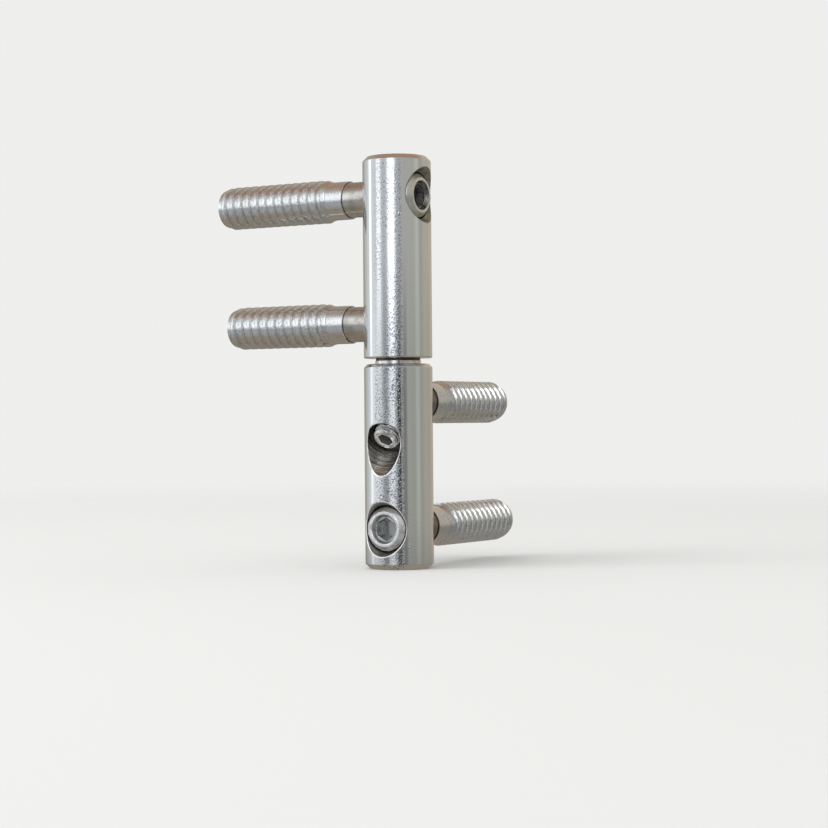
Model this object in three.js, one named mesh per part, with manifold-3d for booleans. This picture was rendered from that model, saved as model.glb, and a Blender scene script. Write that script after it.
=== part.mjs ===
// A barrel hinge that adjusts three ways, for a rebated wooden door or window.
//
// Two steel barrels turn on one pivot pin. The lower barrel belongs to the frame: its two
// pins point along +Y, into the frame. The upper barrel belongs to the leaf: with the leaf
// shut, its two pins point along -X, into the leaf. The outer pin of each barrel is the
// shank of an adjusting screw, whose head lies in a pocket on the far side of the barrel
// and whose thread turns in a sleeve fixed in the wood, so turning it moves the barrel in
// or out. The inner pin only guides. A small set screw in the lower barrel, tilted upwards,
// presses a pad against the bevelled foot of the pivot pin and so lifts the leaf.
//
// Millimetres, +Z up along the pivot axis, origin at the middle of the lower barrel's foot.
import * as THREE from 'three';
import { mergeVertices } from 'three/addons/utils/BufferGeometryUtils.js';
import Module from 'manifold-3d';

const wasm = await Module();
wasm.setup();

// ---- Barrels ----
const barrelRadius = 10;
const frameBarrelLength = 59.5;
const leafBarrelLength = 58.8;
const outerEdgeChamfer = 1.4;       // at the foot of the lower barrel and the top of the upper one
const frameInnerChamfer = 1;        // where the barrels face each other
const leafInnerChamfer = 0.3;
const adjusterFromOuterEnd = 11.65; // axis of the adjusting screw
const guidePinFromOuterEnd = 48.5;  // axis of the guide pin

// ---- Travel of the three adjustments ----
const frameTravel = 2.5;            // in and out of the frame, each way
const leafTravel = 3;               // in and out of the leaf, each way
const liftTravel = 3;               // of the pivot pin, up from its lowest position

// ---- Adjusting screws ----
const headRecess = 1.5;             // face of the head below the barrel's surface
const headRadius = 6.55;
const headConeLength = 1.2;         // the head narrows to its rim
const headRimRadius = 5.1;
const headRimWidth = 0.9;
const headLength = 4;
const dishDepth = 1.2;              // the face sinks from its rim to the socket
const dishFloorRadius = 3.6;
const socketAcrossFlats = 6;
const socketDepth = 5.5;            // below the rim
const shankRadius = 5.2;
const shankInTimber = 16;
const threadRadius = 4;             // M8, at its major diameter
const threadLength = 24;
const tipChamfer = 1;

// ---- Pocket of an adjusting screw ----
const headClearance = 0.25;
const pocketMouthRadius = 8;        // at the barrel's surface
const pocketTaperDepth = 2.8;
const headWasherThickness = 0.9;
const headWasherRadius = 6.5;

// ---- Snap ring that keeps an adjusting screw in its barrel ----
const snapRingFromAxis = 3;
const snapRingWire = 1.1;
const snapRingInnerRadius = 4.75;
const snapRingOpening = 3;

// ---- Guide pins ----
const guidePinRadius = 5.2;
const guidePinInTimber = 36;
const guidePinChamfer = 1.2;
const guideHoleWeb = 0.5;           // wall left between a guide pin's hole and the pivot bore

// ---- Sleeves fixed in the wood ----
const frameTimberGap = 4.4;         // from the lower barrel's surface to the frame
const leafTimberGap = 6.7;          // from the upper barrel's surface to the leaf
const sleeveProud = 0.8;            // rim of a sleeve in front of the wood
const sleeveNeckRadius = 5.65;
const sleeveNeckLength = 5;
const sleeveThreadRadius = 6.4;     // wood thread, at its crest
const threadedSleeveDepth = 44;     // in the wood
const guideSleeveDepth = 41;
const sleeveEndChamfer = 0.6;
const sleeveRimChamfer = 0.15;

// ---- Pivot ----
const pivotRadius = 4;
const pivotReach = 26;              // length in the upper barrel
const pivotChamfer = 1;
const collarRadius = 6.7;
const collarThickness = 1;
const thrustWasherThickness = 0.7;
const thrustWasherRadius = 6.5;
const bushWall = 0.85;
const bushLength = 26.5;
const boreEndRoom = 0.5;            // between the foot of the pin and the floor of its bore
const bushEndRoom = 1;              // between the bush and the floor of its bore
const boreMouthChamfer = 0.4;

// ---- Height screw ----
const heightScrewMouth = 34.8;      // where its axis leaves the barrel's surface, above the foot
const heightScrewTilt = 45;         // degrees above the horizontal
const heightScrewRecess = 3.5;      // along its axis, from the barrel's surface to its face
const heightScrewRadius = 4;        // M8, at its major diameter
const heightScrewLength = 7;
const heightScrewChamfer = 0.6;
const heightSocketAcrossFlats = 4;
const heightSocketDepth = 4;
const heightPocketRadius = 5.6;
const heightPocketDepth = 5.2;      // at its wall, before the shallow cone of its drill
const padRadius = 3.7;
const padThickness = 1.5;
const padChamfer = 0.3;

const drillPoint = 118;             // degrees, the angle of every drill's tip

// ---- Fits ----
const runningGap = 0.1;             // on the radius, for what turns or slides
const boreGap = 0.15;               // on the radius, for the adjusting screws in their barrels
const pressGap = 0.05;              // on the radius, for what is pressed in
const faceGap = 0.05;               // between flat faces that bear on each other
const screwFaceGap = 0.3;           // between the height screw, its pad and the pivot pin
const threadGap = 0.15;             // on the radius, in the threads of the sleeves
const grooveGap = 0.2;              // all round a snap ring

// ---- Smoothness ----
const barrelFacets = 96;
const screwFacets = 48;
const pinFacets = 32;

// ---- What follows from the sizes above ----
const drillSlope = Math.tan(THREE.MathUtils.degToRad(90 - drillPoint / 2));
const barrelGap = collarThickness + thrustWasherThickness;
const hingeLength = frameBarrelLength + barrelGap + leafBarrelLength;
const headFace = barrelRadius - headRecess;
const headUnderside = headFace - headLength;
const pocketSeat = headUnderside - headWasherThickness - 2 * faceGap;
const pocketRadius = headRadius + headClearance;
const shankBoreRadius = shankRadius + boreGap;
const pivotBoreRadius = pivotRadius + runningGap;
const bushOuterRadius = pivotBoreRadius + bushWall;
const bushBoreRadius = bushOuterRadius + pressGap;
const tilt = THREE.MathUtils.degToRad(heightScrewTilt);
const padStart = heightScrewRecess + heightScrewLength + screwFaceGap;
const bevelDistance = padStart + padThickness + screwFaceGap;

// The bevel faces down the height screw's axis, so on it y cos(tilt) + z sin(tilt) is constant.
const bevelConstant = bevelDistance - barrelRadius * Math.cos(tilt) + heightScrewMouth * Math.sin(tilt);
const bevelHeightAt = (y) => (bevelConstant - y * Math.cos(tilt)) / Math.sin(tilt);
const pivotFoot = bevelHeightAt(pivotRadius);
const pivotBoreFloor = pivotFoot - boreEndRoom;
const pivotTop = frameBarrelLength + barrelGap + pivotReach;

// ---------------------------------------------------------------- shapes

// A body of revolution about +Z, from an outline of [radius, height] points that runs upwards
// on the outside.
function turned(outline, facets) {
  const points = outline.map(([radius, height]) => new THREE.Vector2(radius, height));
  return new THREE.LatheGeometry(points, facets).rotateX(Math.PI / 2);
}

// A ring's or tube's outline closes on itself.
function turnedRing(outline, facets) {
  return turned([...outline, outline[0]], facets);
}

function cylinderOutline(radius, from, to) {
  return [[0, from], [radius, from], [radius, to], [0, to]];
}

// A hexagonal prism along +Z with corners up and down its y axis.
function hexPrism(acrossFlats, from, to) {
  const cornerRadius = acrossFlats / Math.sqrt(3);
  const corners = Array.from({ length: 6 }, (_, corner) => {
    const turn = Math.PI / 2 + (corner * Math.PI) / 3;
    return new THREE.Vector2(cornerRadius * Math.cos(turn), cornerRadius * Math.sin(turn));
  });
  const outline = new THREE.Shape(corners);
  return new THREE.ExtrudeGeometry(outline, { depth: to - from, bevelEnabled: false })
    .translate(0, 0, from);
}

// A drilled socket: a hexagon that ends in the shallow cone of its drill.
function socketCutter(acrossFlats, face, floor) {
  const drillRadius = acrossFlats / 2;
  const cone = turned([[0, face - 1], [drillRadius, face - 1], [drillRadius, floor],
    [0, floor + drillRadius * drillSlope]], screwFacets / 2);
  return solid(hexPrism(acrossFlats, face - 1, floor)).add(solid(cone));
}

// ---------------------------------------------------------------- joining and cutting

// The solid of a closed geometry. Vertices that coincide are merged, and the triangles that
// a pole or a seam leaves without an area are dropped.
function solid(geometry) {
  const bare = geometry.clone();
  bare.deleteAttribute('normal');
  bare.deleteAttribute('uv');
  const merged = mergeVertices(bare, 1e-4);
  const triangles = [];
  for (let i = 0; i < merged.index.count; i += 3) {
    const [a, b, c] = [0, 1, 2].map((corner) => merged.index.getX(i + corner));
    if (a !== b && b !== c && c !== a) triangles.push(a, b, c);
  }
  return new wasm.Manifold(new wasm.Mesh({
    numProp: 3,
    vertProperties: new Float32Array(merged.attributes.position.array),
    triVerts: new Uint32Array(triangles),
  }));
}

function geometryOf(body) {
  const { vertProperties, triVerts } = body.getMesh();
  const geometry = new THREE.BufferGeometry();
  geometry.setAttribute('position', new THREE.BufferAttribute(new Float32Array(vertProperties), 3));
  geometry.setIndex(new THREE.BufferAttribute(new Uint32Array(triVerts), 1));
  return geometry;
}

// ---------------------------------------------------------------- places

// Along a cross pin, local +Z is the pin's direction and 0 is the pivot axis.
const alongPin = (height) => new THREE.Matrix4()
  .makeTranslation(0, 0, height)
  .multiply(new THREE.Matrix4().makeRotationX(-Math.PI / 2));

// Along the height screw, local +Z is the direction in which it advances and 0 is where its
// axis leaves the barrel's surface.
const alongHeightScrew = new THREE.Matrix4()
  .makeTranslation(0, -barrelRadius, heightScrewMouth)
  .multiply(new THREE.Matrix4().makeRotationX(tilt - Math.PI / 2));

function group(matrix, ...children) {
  const placed = new THREE.Group();
  matrix.decompose(placed.position, placed.quaternion, placed.scale);
  placed.add(...children);
  return placed;
}

// ---------------------------------------------------------------- finishes

const finishes = {
  zinc: { color: 0xc9ccca, roughness: 0.22, metalness: 1 },
  screwSteel: { color: 0xb4b2aa, roughness: 0.3, metalness: 1 },
  pinSteel: { color: 0xa9a396, roughness: 0.34, metalness: 1 },
  springSteel: { color: 0x55585c, roughness: 0.4, metalness: 1 },
  bronze: { color: 0xb08a52, roughness: 0.4, metalness: 1 },
  polymer: { color: 0x3a3d40, roughness: 0.6, metalness: 0 },
};

function node(name, geometry, finish) {
  const mesh = new THREE.Mesh(geometry, new THREE.MeshStandardMaterial(finishes[finish]));
  mesh.name = name;
  return mesh;
}

// ---------------------------------------------------------------- barrels

// The stepped hole across a barrel: a tapered pocket, the seat of the head, the bore of the
// shank and the groove of the snap ring.
function adjusterHole() {
  const outside = barrelRadius + 1;
  const taper = (pocketMouthRadius - pocketRadius) / pocketTaperDepth;
  const grooveRadius = snapRingInnerRadius + snapRingWire + grooveGap;
  const grooveStart = snapRingFromAxis - grooveGap;
  const grooveEnd = snapRingFromAxis + snapRingWire + grooveGap;
  return turned([
    [0, -outside],
    [pocketMouthRadius + taper, -outside],
    [pocketRadius, pocketTaperDepth - barrelRadius],
    [pocketRadius, -pocketSeat],
    [shankBoreRadius, -pocketSeat],
    [shankBoreRadius, grooveStart],
    [grooveRadius, grooveStart],
    [grooveRadius, grooveEnd],
    [shankBoreRadius, grooveEnd],
    [shankBoreRadius, outside],
    [0, outside],
  ], screwFacets);
}

// A barrel stands on its outer end, with its pins along +Y. The bore for the pivot comes down
// from its inner end.
function barrelBlank({ length, innerChamfer, boreRadius, boreFloor }) {
  const blank = turned([
    [0, 0],
    [barrelRadius - outerEdgeChamfer, 0],
    [barrelRadius, outerEdgeChamfer],
    [barrelRadius, length - innerChamfer],
    [barrelRadius - innerChamfer, length],
    [0, length],
  ], barrelFacets);
  const bore = turned([
    [0, boreFloor],
    [boreRadius, boreFloor],
    [boreRadius, length - boreMouthChamfer],
    [boreRadius + boreMouthChamfer + 1, length + 1],
    [0, length + 1],
  ], screwFacets);
  const guideHole = turned(
    cylinderOutline(guidePinRadius + pressGap, boreRadius + guideHoleWeb, barrelRadius + 1),
    screwFacets,
  );
  return solid(blank)
    .subtract(solid(bore))
    .subtract(solid(adjusterHole().applyMatrix4(alongPin(adjusterFromOuterEnd))))
    .subtract(solid(guideHole.applyMatrix4(alongPin(guidePinFromOuterEnd))));
}

// The lower barrel also has the tilted hole of the height screw, wide at its mouth and then
// threaded. It ends inside the pivot bore, where the pad is once the pin is lifted all the way.
function frameBarrel() {
  const threadHoleRadius = heightScrewRadius + pressGap;
  const holeEnd = bevelDistance + liftTravel * Math.sin(tilt);
  const pocket = turned([
    [0, -2 * barrelRadius],
    [heightPocketRadius, -2 * barrelRadius],
    [heightPocketRadius, heightPocketDepth],
    [0, heightPocketDepth + heightPocketRadius * drillSlope],
  ], screwFacets);
  const thread = turned(cylinderOutline(threadHoleRadius, 0, holeEnd), screwFacets);
  return barrelBlank({
    length: frameBarrelLength, innerChamfer: frameInnerChamfer,
    boreRadius: pivotBoreRadius, boreFloor: pivotBoreFloor,
  })
    .subtract(solid(pocket.applyMatrix4(alongHeightScrew)))
    .subtract(solid(thread.applyMatrix4(alongHeightScrew)));
}

function leafBarrel() {
  return barrelBlank({
    length: leafBarrelLength, innerChamfer: leafInnerChamfer,
    boreRadius: bushBoreRadius, boreFloor: leafBarrelLength - bushLength - bushEndRoom,
  });
}

// ---------------------------------------------------------------- fixing pieces

// Head, shank and thread in one piece. The head is dished round its socket, and the shank has
// the groove of the snap ring.
function adjustingScrew(timberFace) {
  const shankEnd = timberFace + shankInTimber;
  const tip = shankEnd + threadLength;
  const grooveRadius = snapRingInnerRadius - runningGap;
  const grooveStart = snapRingFromAxis - grooveGap;
  const grooveEnd = snapRingFromAxis + snapRingWire + grooveGap;
  const body = turned([
    [0, dishDepth - headFace],
    [dishFloorRadius, dishDepth - headFace],
    [headRimRadius - headRimWidth, -headFace],
    [headRimRadius, -headFace],
    [headRadius, headConeLength - headFace],
    [headRadius, -headUnderside],
    [shankRadius, -headUnderside],
    [shankRadius, grooveStart],
    [grooveRadius, grooveStart],
    [grooveRadius, grooveEnd],
    [shankRadius, grooveEnd],
    [shankRadius, shankEnd - (shankRadius - threadRadius)],
    [threadRadius, shankEnd],
    [threadRadius, tip - tipChamfer],
    [threadRadius - tipChamfer, tip],
    [0, tip],
  ], screwFacets);
  return solid(body).subtract(socketCutter(socketAcrossFlats, -headFace, socketDepth - headFace));
}

function headWasher() {
  const front = -headUnderside + faceGap;
  const back = front + headWasherThickness;
  return turnedRing([
    [shankBoreRadius, front],
    [headWasherRadius, front],
    [headWasherRadius, back],
    [shankBoreRadius, back],
  ], screwFacets);
}

// An open ring of square wire.
function snapRing() {
  const outerRadius = snapRingInnerRadius + snapRingWire;
  const halfOpening = Math.asin(snapRingOpening / 2 / outerRadius);
  const start = Math.PI / 2 + halfOpening;
  const end = Math.PI / 2 + 2 * Math.PI - halfOpening;
  const outline = new THREE.Shape();
  outline.absarc(0, 0, outerRadius, start, end, false);
  outline.absarc(0, 0, snapRingInnerRadius, end, start, true);
  const ring = new THREE.ExtrudeGeometry(outline, {
    depth: snapRingWire, bevelEnabled: false, curveSegments: screwFacets / 2,
  });
  return ring.translate(0, 0, snapRingFromAxis);
}

// Both kinds of sleeve have a slim neck that ends in a rim just in front of the wood, and a
// coarse wood thread behind it. The threaded one narrows to the adjusting screw's thread.
function sleeveOutside(timberFace, depth) {
  const rim = timberFace - sleeveProud;
  const end = timberFace + depth;
  const neckEnd = timberFace + sleeveNeckLength;
  return [
    [sleeveNeckRadius - sleeveRimChamfer, rim],
    [sleeveNeckRadius, rim + sleeveRimChamfer],
    [sleeveNeckRadius, neckEnd],
    [sleeveThreadRadius, neckEnd + sleeveThreadRadius - sleeveNeckRadius],
    [sleeveThreadRadius, end - sleeveEndChamfer],
    [sleeveThreadRadius - sleeveEndChamfer, end],
  ];
}

function threadedSleeve(timberFace, travel) {
  const plainRadius = shankRadius + runningGap;
  const threadHole = threadRadius + threadGap;
  const plainEnd = timberFace + shankInTimber + travel + 1;
  return turnedRing([
    ...sleeveOutside(timberFace, threadedSleeveDepth),
    [threadHole, timberFace + threadedSleeveDepth],
    [threadHole, plainEnd + plainRadius - threadHole],
    [plainRadius, plainEnd],
    [plainRadius, timberFace - sleeveProud],
  ], pinFacets);
}

function guideSleeve(timberFace) {
  const boreRadius = guidePinRadius + runningGap;
  return turnedRing([
    ...sleeveOutside(timberFace, guideSleeveDepth),
    [boreRadius, timberFace + guideSleeveDepth],
    [boreRadius, timberFace - sleeveProud],
  ], pinFacets);
}

function guidePin(timberFace, boreRadius) {
  const inner = boreRadius + guideHoleWeb + faceGap;
  const outer = timberFace + guidePinInTimber;
  return turned([
    [0, inner],
    [guidePinRadius, inner],
    [guidePinRadius, outer - guidePinChamfer],
    [guidePinRadius - guidePinChamfer, outer],
    [0, outer],
  ], pinFacets);
}

// One barrel with all that fastens it to the wood, standing on its outer end.
function hingeHalf(name, { barrel, boreRadius, timberGap, travel }) {
  const timberFace = barrelRadius + timberGap;
  return [
    node(`${name}_barrel`, geometryOf(barrel), 'zinc'),
    group(
      alongPin(adjusterFromOuterEnd),
      node(`${name}_adjusting_screw`, geometryOf(adjustingScrew(timberFace)), 'screwSteel'),
      node(`${name}_screw_washer`, headWasher(), 'springSteel'),
      node(`${name}_snap_ring`, snapRing(), 'springSteel'),
      node(`${name}_threaded_sleeve`, threadedSleeve(timberFace, travel), 'zinc'),
    ),
    group(
      alongPin(guidePinFromOuterEnd),
      node(`${name}_guide_pin`, guidePin(timberFace, boreRadius), 'pinSteel'),
      node(`${name}_guide_sleeve`, guideSleeve(timberFace), 'zinc'),
    ),
  ];
}

// ---------------------------------------------------------------- pivot and height screw

// The pin stands in the lower barrel on its collar. Its foot is bevelled, square to the height
// screw's axis.
function pivotPin() {
  const collarTop = frameBarrelLength + collarThickness;
  const pin = turned([
    [0, pivotFoot],
    [pivotRadius, pivotFoot],
    [pivotRadius, frameBarrelLength],
    [collarRadius, frameBarrelLength],
    [collarRadius, collarTop],
    [pivotRadius, collarTop],
    [pivotRadius, pivotTop - pivotChamfer],
    [pivotRadius - pivotChamfer, pivotTop],
    [0, pivotTop],
  ], screwFacets);
  const size = 4 * barrelRadius;
  const below = new THREE.BoxGeometry(size, size, size).translate(0, 0, bevelDistance - size / 2);
  return solid(pin).subtract(solid(below.applyMatrix4(alongHeightScrew)));
}

function thrustWasher() {
  const bottom = frameBarrelLength + collarThickness;
  const top = bottom + thrustWasherThickness;
  return turnedRing([
    [pivotBoreRadius, bottom],
    [thrustWasherRadius, bottom],
    [thrustWasherRadius, top],
    [pivotBoreRadius, top],
  ], screwFacets);
}

function bearingBush() {
  const bottom = frameBarrelLength + barrelGap;
  const top = bottom + bushLength;
  return turnedRing([
    [pivotBoreRadius, bottom],
    [bushOuterRadius, bottom],
    [bushOuterRadius, top],
    [pivotBoreRadius, top],
  ], screwFacets);
}

function heightScrew() {
  const face = heightScrewRecess;
  const end = face + heightScrewLength;
  const body = turned([
    [0, face],
    [heightScrewRadius - heightScrewChamfer, face],
    [heightScrewRadius, face + heightScrewChamfer],
    [heightScrewRadius, end - heightScrewChamfer],
    [heightScrewRadius - heightScrewChamfer, end],
    [0, end],
  ], pinFacets);
  return solid(body).subtract(socketCutter(heightSocketAcrossFlats, face, face + heightSocketDepth));
}

function pressurePad() {
  return turned([
    [0, padStart],
    [padRadius, padStart],
    [padRadius, padStart + padThickness - padChamfer],
    [padRadius - padChamfer, padStart + padThickness],
    [0, padStart + padThickness],
  ], pinFacets);
}

// ---------------------------------------------------------------- assembly

const hinge = new THREE.Group();

hinge.add(...hingeHalf('frame', {
  barrel: frameBarrel(), boreRadius: pivotBoreRadius, timberGap: frameTimberGap, travel: frameTravel,
}));

// The leaf's half is turned over, so that it hangs from its outer end with its pins along -X.
const turnedOver = new THREE.Matrix4()
  .makeTranslation(0, 0, hingeLength)
  .multiply(new THREE.Matrix4().makeRotationZ(Math.PI / 2))
  .multiply(new THREE.Matrix4().makeRotationY(Math.PI));
hinge.add(group(turnedOver, ...hingeHalf('leaf', {
  barrel: leafBarrel(), boreRadius: bushBoreRadius, timberGap: leafTimberGap, travel: leafTravel,
})));

hinge.add(
  node('pivot_pin', geometryOf(pivotPin()), 'pinSteel'),
  node('thrust_washer', thrustWasher(), 'bronze'),
  node('bearing_bush', bearingBush(), 'polymer'),
  group(
    alongHeightScrew,
    node('height_set_screw', geometryOf(heightScrew()), 'screwSteel'),
    node('height_pressure_pad', pressurePad(), 'bronze'),
  ),
);

export default hinge;
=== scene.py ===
# %% [markdown]
# # A barrel hinge for a rebated door
#
# The hinge is two zinc-plated steel barrels, one above the other on a pivot pin. Cross pins hold
# each barrel in the wood, and screws in its side adjust it. Almost everything about it is turned
# metal, so this lesson is about three things: crisp turned shapes, holes whose rims catch the
# light, and a studio that gives bright metal something to reflect.
#
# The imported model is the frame. It gives the place and the size of every piece, so the sizes
# below are only those of details that its boxes don't tell.

import math

import bpy
from mathutils import Matrix, Vector


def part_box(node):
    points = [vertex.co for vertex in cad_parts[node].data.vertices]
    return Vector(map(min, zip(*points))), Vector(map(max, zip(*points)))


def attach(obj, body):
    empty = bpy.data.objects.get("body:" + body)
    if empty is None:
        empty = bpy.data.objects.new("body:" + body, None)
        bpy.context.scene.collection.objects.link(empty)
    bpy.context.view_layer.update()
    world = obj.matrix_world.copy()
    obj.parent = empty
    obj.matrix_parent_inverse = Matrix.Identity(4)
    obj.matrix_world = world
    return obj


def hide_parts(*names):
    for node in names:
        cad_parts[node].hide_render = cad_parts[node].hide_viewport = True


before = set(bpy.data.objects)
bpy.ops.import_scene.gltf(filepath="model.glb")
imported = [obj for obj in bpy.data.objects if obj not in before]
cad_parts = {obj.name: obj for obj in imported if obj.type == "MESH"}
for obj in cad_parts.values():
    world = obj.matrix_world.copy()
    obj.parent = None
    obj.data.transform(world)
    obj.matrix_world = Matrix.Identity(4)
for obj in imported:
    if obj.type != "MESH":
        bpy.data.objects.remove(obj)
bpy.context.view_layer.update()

# %% [markdown]
# Blender's modelling operators have built-in tolerances that suit objects of about a metre. A
# hinge has edges of a tenth of a millimetre, so every piece is modelled as if one unit were one
# millimetre, and is scaled down once at the end. `place` also turns it to where it belongs and
# applies all of that to the mesh, so that the finished object sits at the origin.

# %% Working in millimetres
MM = 0.001


def box_mm(node):
    low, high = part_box(node)
    return low / MM, high / MM


def select_only(*pieces):
    bpy.ops.object.select_all(action="DESELECT")
    for piece in pieces:
        piece.select_set(True)
    bpy.context.view_layer.objects.active = pieces[0]


def place(piece, matrix=Matrix.Identity(4)):
    """Moves a piece, modelled in millimetres, to its place in the frame, in metres."""
    select_only(piece)
    piece.matrix_world = Matrix.Scale(MM, 4) @ matrix
    bpy.ops.object.transform_apply(location=True, rotation=True, scale=True)
    return piece


ALONG_Y = Matrix.Rotation(-math.pi / 2, 4, "X")         # local +Z becomes +Y

# %% [markdown]
# ## The main sizes
#
# Every axis and end is read from the frame: the barrels' radius and ends, the heights of the cross
# pins, and where each sleeve, screw and pin starts and stops.

# %% Sizes from the frame
foot, lower_top = (corner.z for corner in box_mm("frame_barrel"))
upper_bottom, upper_top = (corner.z for corner in box_mm("leaf_barrel"))
barrel_radius = box_mm("frame_barrel")[1].x


def cross_pin(node, side):
    """Height of a cross pin's axis, its radius, and where it starts and ends along its axis."""
    low, high = box_mm(node)
    height = (low.z + high.z) / 2
    radius = (high.z - low.z) / 2
    start, end = (low.y, high.y) if side == "frame" else (-high.x, -low.x)
    return height, radius, start, end


for side in ("frame", "leaf"):
    height, radius, start, end = cross_pin(f"{side}_adjusting_screw", side)
    print(f"{side} screw at {height:.1f} mm, head {2 * radius:.1f} mm, from {start:.1f} to {end:.1f} mm")

# %% [markdown]
# ## Turned pieces
#
# A lathe cuts a profile while the work spins, and Blender's Spin operator does the same: the
# profile is drawn as a chain of edges, one extrude for each point, and spun through a full turn.
# Where the profile starts and ends on the axis the piece is solid, and where it closes on itself
# the piece is a ring. A Bevel modifier then breaks the edges that a tool would have left sharp,
# because a broken edge is what catches the light. Weighted normals keep that edge from bending the
# reflections on the long straight faces beside it.

# %% The lathe
SAME_POINT = 0.001          # points closer than this are merged


def draw_profile(name, points):
    """A chain of edges in the XZ plane, as the new active object in edit mode."""
    bpy.ops.object.select_all(action="DESELECT")
    bpy.ops.mesh.primitive_plane_add(size=1)
    piece = bpy.context.object
    piece.name = piece.data.name = name
    bpy.ops.object.mode_set(mode="EDIT")
    bpy.ops.mesh.select_mode(type="VERT")
    bpy.ops.mesh.select_all(action="SELECT")
    bpy.ops.mesh.merge(type="CENTER")
    radius, height = points[0]
    bpy.ops.transform.translate(value=(radius, 0, height))
    for (r0, z0), (r1, z1) in zip(points, points[1:]):
        bpy.ops.mesh.extrude_region_move(TRANSFORM_OT_translate={"value": (r1 - r0, 0, z1 - z0)})
    return piece


def face_outwards():
    """Turns all faces of the piece that is being edited outwards, and leaves edit mode."""
    bpy.ops.mesh.select_all(action="SELECT")
    bpy.ops.mesh.normals_make_consistent(inside=False)
    bpy.ops.object.mode_set(mode="OBJECT")


def break_edges(piece, width, segments, degrees=25):
    """Bevels every edge that turns by more than an angle. The piece has to be the active one."""
    bevel = piece.modifiers.new("broken_edges", "BEVEL")
    bevel.width = width
    bevel.segments = segments
    bevel.limit_method = "ANGLE"
    bevel.angle_limit = math.radians(degrees)
    bpy.ops.object.modifier_apply(modifier=bevel.name)


def lathe(name, points, *materials, steps=128, edge=0.08, edge_segments=2):
    """A turned piece about +Z from its profile of (radius, height) points."""
    piece = draw_profile(name, points)
    bpy.ops.mesh.select_all(action="SELECT")
    bpy.ops.mesh.spin(steps=steps, angle=2 * math.pi, center=(0, 0, 0), axis=(0, 0, 1))
    bpy.ops.mesh.select_all(action="SELECT")
    bpy.ops.mesh.remove_doubles(threshold=SAME_POINT)
    face_outwards()
    if edge:
        break_edges(piece, edge, edge_segments)
    for material in materials:
        piece.data.materials.append(material)
    return piece


def ring_profile(inner, outer, low, high):
    return [(inner, low), (outer, low), (outer, high), (inner, high), (inner, low)]


def smooth(piece, degrees=28):
    """Smooth shading up to an angle, in which a long face keeps its own normal up to its edges."""
    select_only(piece)
    bpy.ops.object.shade_smooth_by_angle(angle=math.radians(degrees))
    weighted = piece.modifiers.new("weighted_normals", "WEIGHTED_NORMAL")
    weighted.mode = "FACE_AREA"
    weighted.weight = 100
    weighted.keep_sharp = True
    bpy.ops.object.modifier_apply(modifier=weighted.name)
    return piece


def joined(*parts):
    """Smooths every part and joins them into the first."""
    for part in parts:
        smooth(part)
    select_only(*parts)
    bpy.ops.object.join()
    return parts[0]


# %% [markdown]
# ## Cutting
#
# Holes are cut with Boolean modifiers, as a drill would cut them. The cutter hands its material on
# to the faces that it makes, so the inside of a pocket gets the finish of a drilled wall while
# the outside keeps the bright plating.

# %% The Boolean
OVERCUT = 1.0               # how far a cutter starts outside the metal
SOCKET_FLOOR_INSET = 0.12   # the cone that ends a socket, as shares of its width across flats
SOCKET_FLOOR_DEPTH = 0.05


def cut(piece, cutter):
    select_only(piece)
    boolean = piece.modifiers.new("cut", "BOOLEAN")
    boolean.operation = "DIFFERENCE"
    boolean.solver = "EXACT"
    boolean.material_mode = "TRANSFER"
    boolean.object = cutter
    bpy.ops.object.modifier_apply(modifier=boolean.name)
    bpy.data.objects.remove(cutter)
    return piece


def hexagon_cutter(name, across_flats, start, end, wall, floor=None):
    """A hexagonal prism along +Z with corners up and down its y axis, ending in a flat cone.

    It hands on one material to the walls and another to the floor."""
    bpy.ops.object.select_all(action="DESELECT")
    bpy.ops.mesh.primitive_cylinder_add(
        vertices=6, radius=across_flats / math.sqrt(3), depth=end - start,
        location=(0, 0, (start + end) / 2))
    cutter = bpy.context.object
    cutter.name = name
    bpy.ops.object.mode_set(mode="EDIT")
    bpy.ops.mesh.select_all(action="DESELECT")
    bpy.ops.object.mode_set(mode="OBJECT")
    for face in cutter.data.polygons:
        face.select = face.normal.z > 0.5
    bpy.ops.object.mode_set(mode="EDIT")
    bpy.ops.mesh.select_mode(type="FACE")
    bpy.ops.mesh.inset(thickness=SOCKET_FLOOR_INSET * across_flats)
    bpy.ops.mesh.extrude_region_shrink_fatten(
        TRANSFORM_OT_shrink_fatten={"value": SOCKET_FLOOR_DEPTH * across_flats})
    bpy.ops.mesh.merge(type="CENTER")
    bpy.ops.object.mode_set(mode="OBJECT")
    bpy.ops.object.transform_apply(location=True, rotation=True, scale=True)
    cutter.data.materials.append(wall)
    cutter.data.materials.append(floor or wall)
    for face in cutter.data.polygons:
        face.material_index = int(face.normal.z > 0.5)
    return cutter


# %% [markdown]
# Where a hole meets the round side of a barrel, the rim is a saddle curve and no bevel can follow
# it across hundreds of narrow faces. A toolmaker would run a small countersink along it. This does
# the same: a thin ring of triangular section is bent along the rim by formula and cut away, which
# leaves a narrow chamfer all round.

# %% The rim chamfer
RIM_REACH = 1.6             # half the cutter's own width, in widths of the chamfer


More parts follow.
